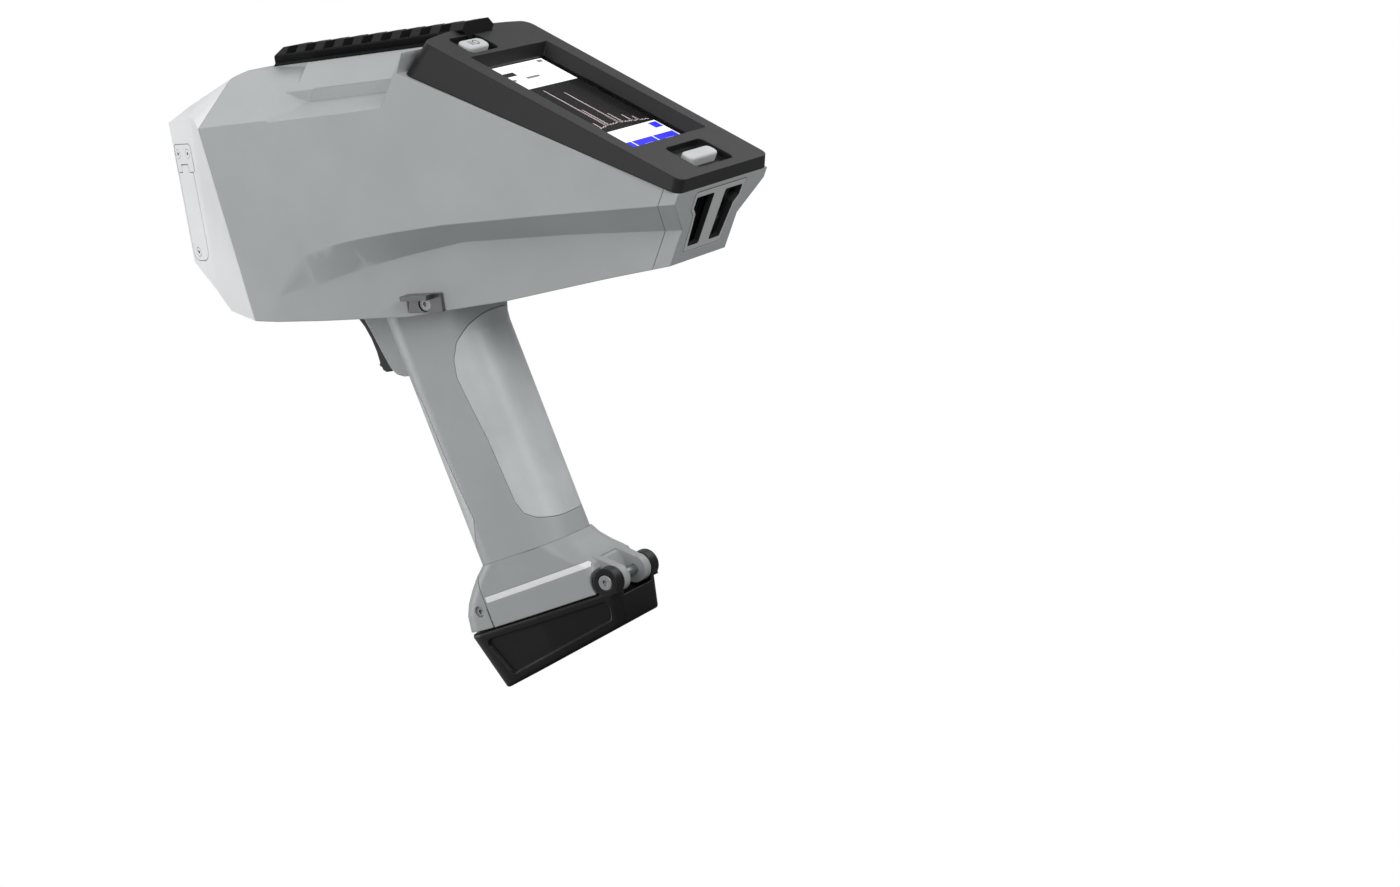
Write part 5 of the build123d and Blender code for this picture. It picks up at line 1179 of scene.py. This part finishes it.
@dataclass
class Display(Section):
    """Bezel, glass, keys and the lit picture: a header, a generic spectrum and a row of buttons.

    Args:
        start: Distance down the deck to the picture's top edge.
        height: Length of the picture down the deck.
        width: Width of the picture.
        level: Level of the picture under the deck's face.
        layer: Step between the picture's layers.
        header: Plain blocks above the plot.
        plot: First and last distance of the plot ground.
        grid: Rows and columns of the plot's grid.
        rule: Width of the grid's lines.
        tab: Left edge, right edge, upper edge and lower edge of a tab under the plot's corner.
        buttons: Number of buttons.
        gap: Gap between the buttons.
        button: Heights of the buttons' upper and lower edges over the picture's foot.
        label: Side gap and the heights of the label's edges in a button.
        trace: Width of the trace.
        trace_steps: Steps of the trace.
        trace_edges: Gap above, under and beside the trace.
        lines: Lines of the spectrum.
        hump: Height, middle and width of the low hump under the lines.
        ripple: Height and two waves of the noise on the trace.
        key_along: Distance down the deck to the middle of the power key.
        key_height: Height of the power key over the deck.
        sign_size: Size of the power key's sign.
        sign_height: Half the thickness of the print.
        sign_side: Place of the sign across the deck.
    """

    start: float = 1.8
    height: float = 77.0
    width: float = 46.4
    level: float = -6.55
    layer: float = 0.012
    header: tuple[ScreenArea, ...] = (
        ScreenArea(0.0, 3.6, 46.4, 3.8, ScreenColour.GREY),
        ScreenArea(41.4, 0.9, 44.9, 2.6, ScreenColour.GREY),
        ScreenArea(1.5, 5.4, 19.0, 8.2, ScreenColour.INK),
        ScreenArea(1.5, 10.6, 14.0, 12.0, ScreenColour.GREY),
        ScreenArea(1.5, 14.2, 11.0, 15.6, ScreenColour.GREY),
        ScreenArea(21.0, 10.6, 30.0, 12.0, ScreenColour.GREY),
    )
    plot: tuple[float, float] = (19.0, 58.0)
    grid: tuple[int, int] = (5, 6)
    rule: float = 0.08
    tab: tuple[float, float, float, float] = (0.8, 6.4, 1.0, 5.2)
    buttons: int = 3
    gap: float = 0.8
    button: tuple[float, float] = (9.6, 1.2)
    label: tuple[float, float, float] = (4.2, 6.0, 4.9)
    trace: float = 0.22
    trace_steps: int = 420
    trace_edges: tuple[float, float, float] = (2.8, 1.2, 1.5)
    lines: tuple[SpectrumLine, ...] = (
        SpectrumLine(0.16, 0.006, 0.3), SpectrumLine(0.27, 0.005, 0.12),
        SpectrumLine(0.38, 0.006, 0.95), SpectrumLine(0.42, 0.005, 0.4),
        SpectrumLine(0.58, 0.007, 0.8), SpectrumLine(0.64, 0.006, 0.22),
        SpectrumLine(0.77, 0.007, 0.16), SpectrumLine(0.86, 0.008, 0.1),
    )
    hump: tuple[float, float, float] = (0.09, 0.5, 0.4)
    ripple: tuple[float, float, float] = (0.012, 190.0, 53.0)
    key_along: float = -8.2
    key_height: float = 0.62
    sign_size: float = 4.6
    sign_height: float = 0.02
    sign_side: float = -13.0
    nodes: dict[Finishes, tuple[str, ...]] = field(default_factory=lambda: {
        Finishes.BEZEL: ("display_bezel",),
        Finishes.GLASS: ("display_glass",),
        Finishes.PANEL_OFF: ("display_module",),
        Finishes.KEY: ("power_key", "enter_key"),
        Finishes.BOARD: ("main_board",),
        Finishes.BRASS: ("board_standoffs",),
        Finishes.CASE: ("key_switches",),
    })

    def spectrum(self, share: float) -> float:
        """Height of the spectrum: its lines on a low hump with a little noise.

        Args:
            share: Place along the plot from 0 to 1.

        Returns:
            The height from 0 to 1.
        """
        height, middle, width = self.hump
        hump = height * math.exp(-((share - middle) / width) ** 2)
        depth, coarse, fine = self.ripple
        ripple = depth * math.sin(share * coarse) * math.sin(share * fine)
        return min(1.0, hump + ripple + sum(line.value(share) for line in self.lines))

    def areas(self) -> list[ScreenArea]:
        """Plain blocks of the picture: header, plot ground, tabs, grid and buttons.

        Returns:
            The blocks from the lowest layer up.
        """
        width, height = self.width, self.height
        top, bottom = self.plot
        left, right, high, low = self.tab
        made = [
            ScreenArea(0.0, 0.0, width, height, ScreenColour.WHITE),
            ScreenArea(0.0, top, width, bottom, ScreenColour.DARK),
            *self.header,
            ScreenArea(left, bottom + high, right, bottom + low, ScreenColour.BLUE),
            ScreenArea(
                width - right, bottom + high, width - left, bottom + low, ScreenColour.BLUE
            ),
        ]
        rows, columns = self.grid
        for number in range(1, rows):
            level = top + (bottom - top) * number / rows
            made.append(ScreenArea(0.0, level, width, level + self.rule, ScreenColour.GRID))
        for number in range(1, columns):
            across = width * number / columns
            made.append(ScreenArea(across, top, across + self.rule, bottom, ScreenColour.GRID))
        pitch = (width - self.gap) / self.buttons
        side, upper, lower = self.label
        for number in range(self.buttons):
            left = self.gap + number * pitch
            right = left + pitch - self.gap
            high, low = (height - edge for edge in self.button)
            made.append(ScreenArea(left, high, right, low, ScreenColour.BLUE))
            made.append(ScreenArea(
                left + side, height - upper, right - side, height - lower, ScreenColour.PALE
            ))
        return made

    def picture(self) -> bmesh.types.BMesh:
        """The picture as thin layers: blocks first, then the trace.

        Returns:
            The picture's bmesh, with X down the deck.
        """
        mesh = bmesh.new()
        half = self.width / 2
        for number, area in enumerate(self.areas()):
            lift = min(number, 2) * self.layer
            left, right = area.left - half, area.right - half
            corners = [
                (area.top, left, lift), (area.bottom, left, lift),
                (area.bottom, right, lift), (area.top, right, lift),
            ]
            add_quad(mesh, corners, area.colour.value)
        top, bottom = self.plot
        above, under, beside = self.trace_edges
        reach = bottom - top - above - under
        spots = []
        for step in range(self.trace_steps + 1):
            share = step / self.trace_steps
            down = bottom - under - reach * self.spectrum(share)
            across = beside + share * (self.width - 2 * beside) - half
            spots.append(Vector((down, across, 3 * self.layer)))
        add_ribbon(mesh, spots, self.trace, ScreenColour.TRACE.value)
        return mesh

    @property
    def key_place(self) -> tuple[float, float, float]:
        """Design point in the middle of the power key's top."""
        pairs = zip(DECK_ORIGIN, DECK_ALONG, DECK_UP)
        return tuple(o + a * self.key_along + u * self.key_height for o, a, u in pairs)

    def key_sign(self) -> bpy.types.Object:
        """Plain I/O sign printed on the power key.

        Returns:
            The sign, which rides with the key.
        """
        curve = bpy.data.curves.new("power_sign", "FONT")
        curve.body = "I/O"
        curve.size = self.sign_size
        curve.align_x = "CENTER"
        curve.align_y = "CENTER"
        curve.extrude = self.sign_height
        curve.fill_mode = "BOTH"
        holder = placed("power_sign_text", curve)
        data = plain_mesh(holder)
        bpy.data.objects.remove(holder)
        matrix = DESIGN.place(self.key_place, (0.0, 1.0, 0.0), DECK_UP)
        data.transform(matrix @ Matrix.Translation((self.sign_side, 0.0, 0.0)))
        data.materials.clear()
        data.materials.append(Finishes.INK.material)
        made = placed("power_sign", data)
        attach(made, "power_key")
        return made

    def build(self) -> list[bpy.types.Object]:
        """Adds the lit picture under the glass and the power key's sign.

        Returns:
            The pieces.
        """
        matrix = DESIGN.place(DECK_ORIGIN, DECK_ALONG, DECK_UP)
        matrix = matrix @ Matrix.Translation((self.start, 0.0, self.level))
        shades = [colour.finish for colour in ScreenColour]
        return [new_piece("screen_picture", self.picture(), shades, matrix), self.key_sign()]


@dataclass
class Rail(Section):
    """Accessory rail and its screws."""

    nodes: dict[Finishes, tuple[str, ...]] = field(default_factory=lambda: {
        Finishes.RAIL: ("accessory_rail",),
        Finishes.DARK: ("rail_screws",),
    })


@dataclass
class Grip(Section):
    """Grip with its panels, foot, latch and battery door."""

    nodes: dict[Finishes, tuple[str, ...]] = field(default_factory=lambda: {
        Finishes.GRIP: ("grip_core",),
        Finishes.RUBBER: ("rear_grip_panel", "front_grip_strip"),
        Finishes.FOOT: ("foot_housing", "latch_lever"),
        Finishes.BRIGHT: ("foot_inlays",),
        Finishes.DOOR: ("battery_door",),
        Finishes.SEAL: ("door_seal", "door_pad"),
        Finishes.SCREW: ("grip_screws", "latch_screws", "hinge_screws"),
        Finishes.STEEL: ("latch_pin", "hinge_pin"),
        Finishes.CASE: ("battery_pack",),
        Finishes.BRASS: ("battery_contacts",),
    })


@dataclass
class Trigger(Section):
    """Trigger with its pin, bracket, switch and a wound return spring.

    Args:
        coil_radius: Middle radius of the coil in millimetres.
        wire: Wire radius in millimetres.
        turns: Turns of the coil.
        end_gap: Room for the wire at each end of the spring, in wire radii.
        turn_steps: Steps in a turn.
        wire_sides: Sides of the wire.
    """

    coil_radius: float = 2.1
    wire: float = 0.16
    turns: float = 3.0
    end_gap: float = 1.1
    turn_steps: int = 28
    wire_sides: int = 10
    nodes: dict[Finishes, tuple[str, ...]] = field(default_factory=lambda: {
        Finishes.BLACK: ("trigger",),
        Finishes.STEEL: ("trigger_pin", "trigger_bracket"),
        Finishes.CASE: ("trigger_switch",),
    })

    def coil_tree(self) -> GeoTree:
        """Tree of a wound spring with its turns, radius, length and wire as inputs.

        Returns:
            The tree.
        """
        made = GeoTree("wound_spring")
        radius = made.value("Radius")
        spiral = made.node(
            "GeometryNodeCurveSpiral",
            {"Resolution": self.turn_steps, "Rotations": made.value("Turns"),
             "Start Radius": radius, "End Radius": radius, "Height": made.value("Length")},
        )
        wire = made.node(
            "GeometryNodeCurvePrimitiveCircle",
            {"Resolution": self.wire_sides, "Radius": made.value("Wire")},
        )
        tube = made.node(
            "GeometryNodeCurveToMesh",
            {"Curve": spiral.outputs[0], "Profile Curve": wire.outputs[0], "Fill Caps": True},
        )
        made.end(tube.outputs[0], Finishes.STEEL.material)
        return made

    def build(self) -> list[bpy.types.Object]:
        """Winds the return spring in the place of its plain solid.

        Returns:
            The spring.
        """
        low, high = (Vector(corner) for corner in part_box("trigger_spring"))
        room = self.end_gap * self.wire * MM
        coil = self.coil_tree().run("trigger_coil", {
            "Turns": self.turns, "Radius": self.coil_radius * MM,
            "Length": high.y - low.y - 2 * room, "Wire": self.wire * MM,
        })
        middle = (low + high) / 2
        start = Matrix.Translation((middle.x, low.y + room, middle.z))
        coil.data.transform(start @ Matrix.Rotation(math.radians(-90.0), 4, "X"))
        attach(coil, BODY)
        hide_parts("trigger_spring")
        return [coil]


@dataclass
class Works(Section):
    """Inner works: tube, supply, detector, chassis."""

    nodes: dict[Finishes, tuple[str, ...]] = field(default_factory=lambda: {
        Finishes.CAST: ("chassis", "filter_wheel"),
        Finishes.STEEL: ("xray_tube", "wheel_motor", "detector"),
        Finishes.BRASS: ("collimator",),
        Finishes.POTTING: ("hv_supply",),
    })


# ------------------------------------------------------------------------------- studio
@dataclass(frozen=True)
class ViewCamera:
    """Camera that sees the left flank from behind and a little above, in design terms.

    Args:
        place: Design point of the lens in millimetres.
        azimuth: Degrees round the object.
        elevation: Degrees above the rail's plane.
        roll: Degrees about the line of sight.
        focus: Focal length, where the frame is FRAME_WIDTH wide.
        clip: Nearest and furthest distance in metres.
    """

    place: tuple[float, float, float] = (790.565, -945.090, 33.992)
    azimuth: float = 33.459
    elevation: float = 10.429
    roll: float = -8.986
    focus: float = 2900.0
    clip: tuple[float, float] = (0.01, 100.0)

    def axes(self) -> tuple[Vector, Vector, Vector]:
        """Design directions to the camera's right, upwards and backwards.

        Returns:
            The three directions.
        """
        turn, lift = math.radians(self.azimuth), math.radians(self.elevation)
        level = math.cos(lift)
        back = Vector((math.sin(turn) * level, -math.cos(turn) * level, math.sin(lift)))
        side = Vector((0.0, 0.0, 1.0)).cross(back).normalized()
        up = back.cross(side)
        roll = math.radians(self.roll)
        right = side * math.cos(roll) + up * math.sin(roll)
        return right, up * math.cos(roll) - side * math.sin(roll), back

    def build(self) -> bpy.types.Object:
        """Makes the camera and sets it as the scene's.

        Returns:
            The camera.
        """
        data = bpy.data.cameras.new("view_camera")
        data.sensor_width = SENSOR
        data.lens = self.focus / FRAME_WIDTH * SENSOR
        data.clip_start, data.clip_end = self.clip
        made = placed("view_camera", data)
        turned = [DESIGN.turn(axis) for axis in self.axes()]
        matrix = Matrix(turned).transposed().to_4x4()
        matrix.translation = DESIGN.point(*self.place)
        made.matrix_world = matrix
        bpy.context.scene.camera = made
        return made


@dataclass(frozen=True)
class Softbox:
    """A rectangular studio lamp that faces the object.

    Args:
        name: Lamp name.
        place: Metres from the floor's origin.
        size: Width and height in metres.
        watts: Power.
        aim: Point that it faces.
    """

    name: str
    place: tuple[float, float, float]
    size: tuple[float, float]
    watts: float
    aim: tuple[float, float, float] = (0.0, 0.0, 0.14)

    def build(self) -> bpy.types.Object:
        """Makes the lamp.

        Returns:
            The lamp.
        """
        data = bpy.data.lights.new(self.name, "AREA")
        data.shape = "RECTANGLE"
        data.size, data.size_y = self.size
        data.energy = self.watts
        made = placed(self.name, data)
        made.location = self.place
        ray = Vector(self.aim) - Vector(self.place)
        made.rotation_euler = ray.to_track_quat("-Z", "Y").to_euler()
        return made


@dataclass
class Studio:
    """Floor, world, lamps and camera.

    Args:
        ambient: Strength of the world as a lamp.
        mirrored: Strength of the world in reflections.
        seen: Strength of the world as the camera sees it.
        floor_size: Side of the floor in metres.
        floor_colour: Tone of the floor as the camera sees it.
        floor_bounce: Tone of the floor for all other light.
        camera: The camera.
        lamps: The lamps.
    """

    ambient: float = 0.37
    mirrored: float = 0.5
    seen: float = 1.0
    floor_size: float = 6.0
    floor_colour: float = 0.88
    floor_bounce: float = 0.3
    camera: ViewCamera = field(default_factory=ViewCamera)
    lamps: tuple[Softbox, ...] = (
        Softbox("top_softbox", (0.0, 0.15, 1.6), (1.5, 1.5), 6.5),
        Softbox("nose_softbox", (-1.6, -0.6, 0.75), (1.0, 1.0), 9.0),
        Softbox("side_softbox", (0.1, -1.6, 0.7), (1.2, 0.9), 7.5),
        Softbox("back_softbox", (0.9, 1.3, 0.9), (1.2, 1.0), 5.0),
        Softbox("rear_softbox", (1.7, -0.55, 0.2), (1.0, 1.0), 19.0),
    )

    def world(self) -> None:
        """White surroundings for the camera, softer ones in reflections and as a lamp."""
        world = bpy.data.worlds.new("studio_world")
        bpy.context.scene.world = world
        graph = Graph(world)
        kinds = ("Is Camera Ray", "Is Transmission Ray", "Is Glossy Ray")
        camera, through, glossy = (graph.add("ShaderNodeLightPath", out=kind) for kind in kinds)
        direct = graph.add("ShaderNodeMath", [camera, through], operation="MAXIMUM")
        dim = glossy.ramp(0.0, 1.0, self.ambient, self.mirrored)
        strength = graph.add(
            "ShaderNodeMapRange", {"Value": direct, "To Min": dim, "To Max": self.seen},
            out="Result",
        )
        white = (1.0, 1.0, 1.0)
        graph.end(graph.add("ShaderNodeBackground", {"Color": white, "Strength": strength}))

    def floor(self) -> bpy.types.Object:
        """Plain pale floor that keeps the object's shadow and is clear from below.

        Returns:
            The floor.
        """
        mesh = bmesh.new()
        half = self.floor_size / 2
        signs = ((-1, -1), (1, -1), (1, 1), (-1, 1))
        add_quad(mesh, [(half * x, half * y, 0.0) for x, y in signs])
        data = bpy.data.meshes.new("studio_floor")
        mesh.to_mesh(data)
        mesh.free()
        graph = Graph(bpy.data.materials.new("studio_floor"))
        seen = graph.add("ShaderNodeLightPath", out="Is Camera Ray")
        tones = [(value, value, value) for value in (self.floor_bounce, self.floor_colour)]
        shade = graph.add("ShaderNodeBsdfDiffuse", {"Color": graph.mix(seen, *tones)})
        clear = graph.add("ShaderNodeBsdfTransparent")
        below = graph.add("ShaderNodeNewGeometry", out="Backfacing")
        data.materials.append(
            graph.end(graph.add("ShaderNodeMixShader", [below, shade, clear]))
        )
        made = placed("studio_floor", data)
        return made

    def build(self) -> None:
        """Builds everything and sets the view transform."""
        self.world()
        self.floor()
        for lamp in self.lamps:
            lamp.build()
        self.camera.build()
        bpy.context.scene.view_settings.view_transform = "Standard"


def main() -> None:
    """Dresses every sub-assembly in order."""
    logging.basicConfig(level=logging.INFO, format="%(name)s: %(message)s")
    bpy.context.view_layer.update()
    Studio().build()
    tree = smoothing_tree()
    sections: list[Callable[[bpy.types.NodeTree], Section]] = [
        MainBody, RearEnd, Display, Rail, Grip, Trigger, Works,
    ]
    added = sum(section(tree).apply() for section in sections)
    LOG.info("%d nodes dressed, %d pieces added", len(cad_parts), added)


if __name__ == "__main__":
    main()
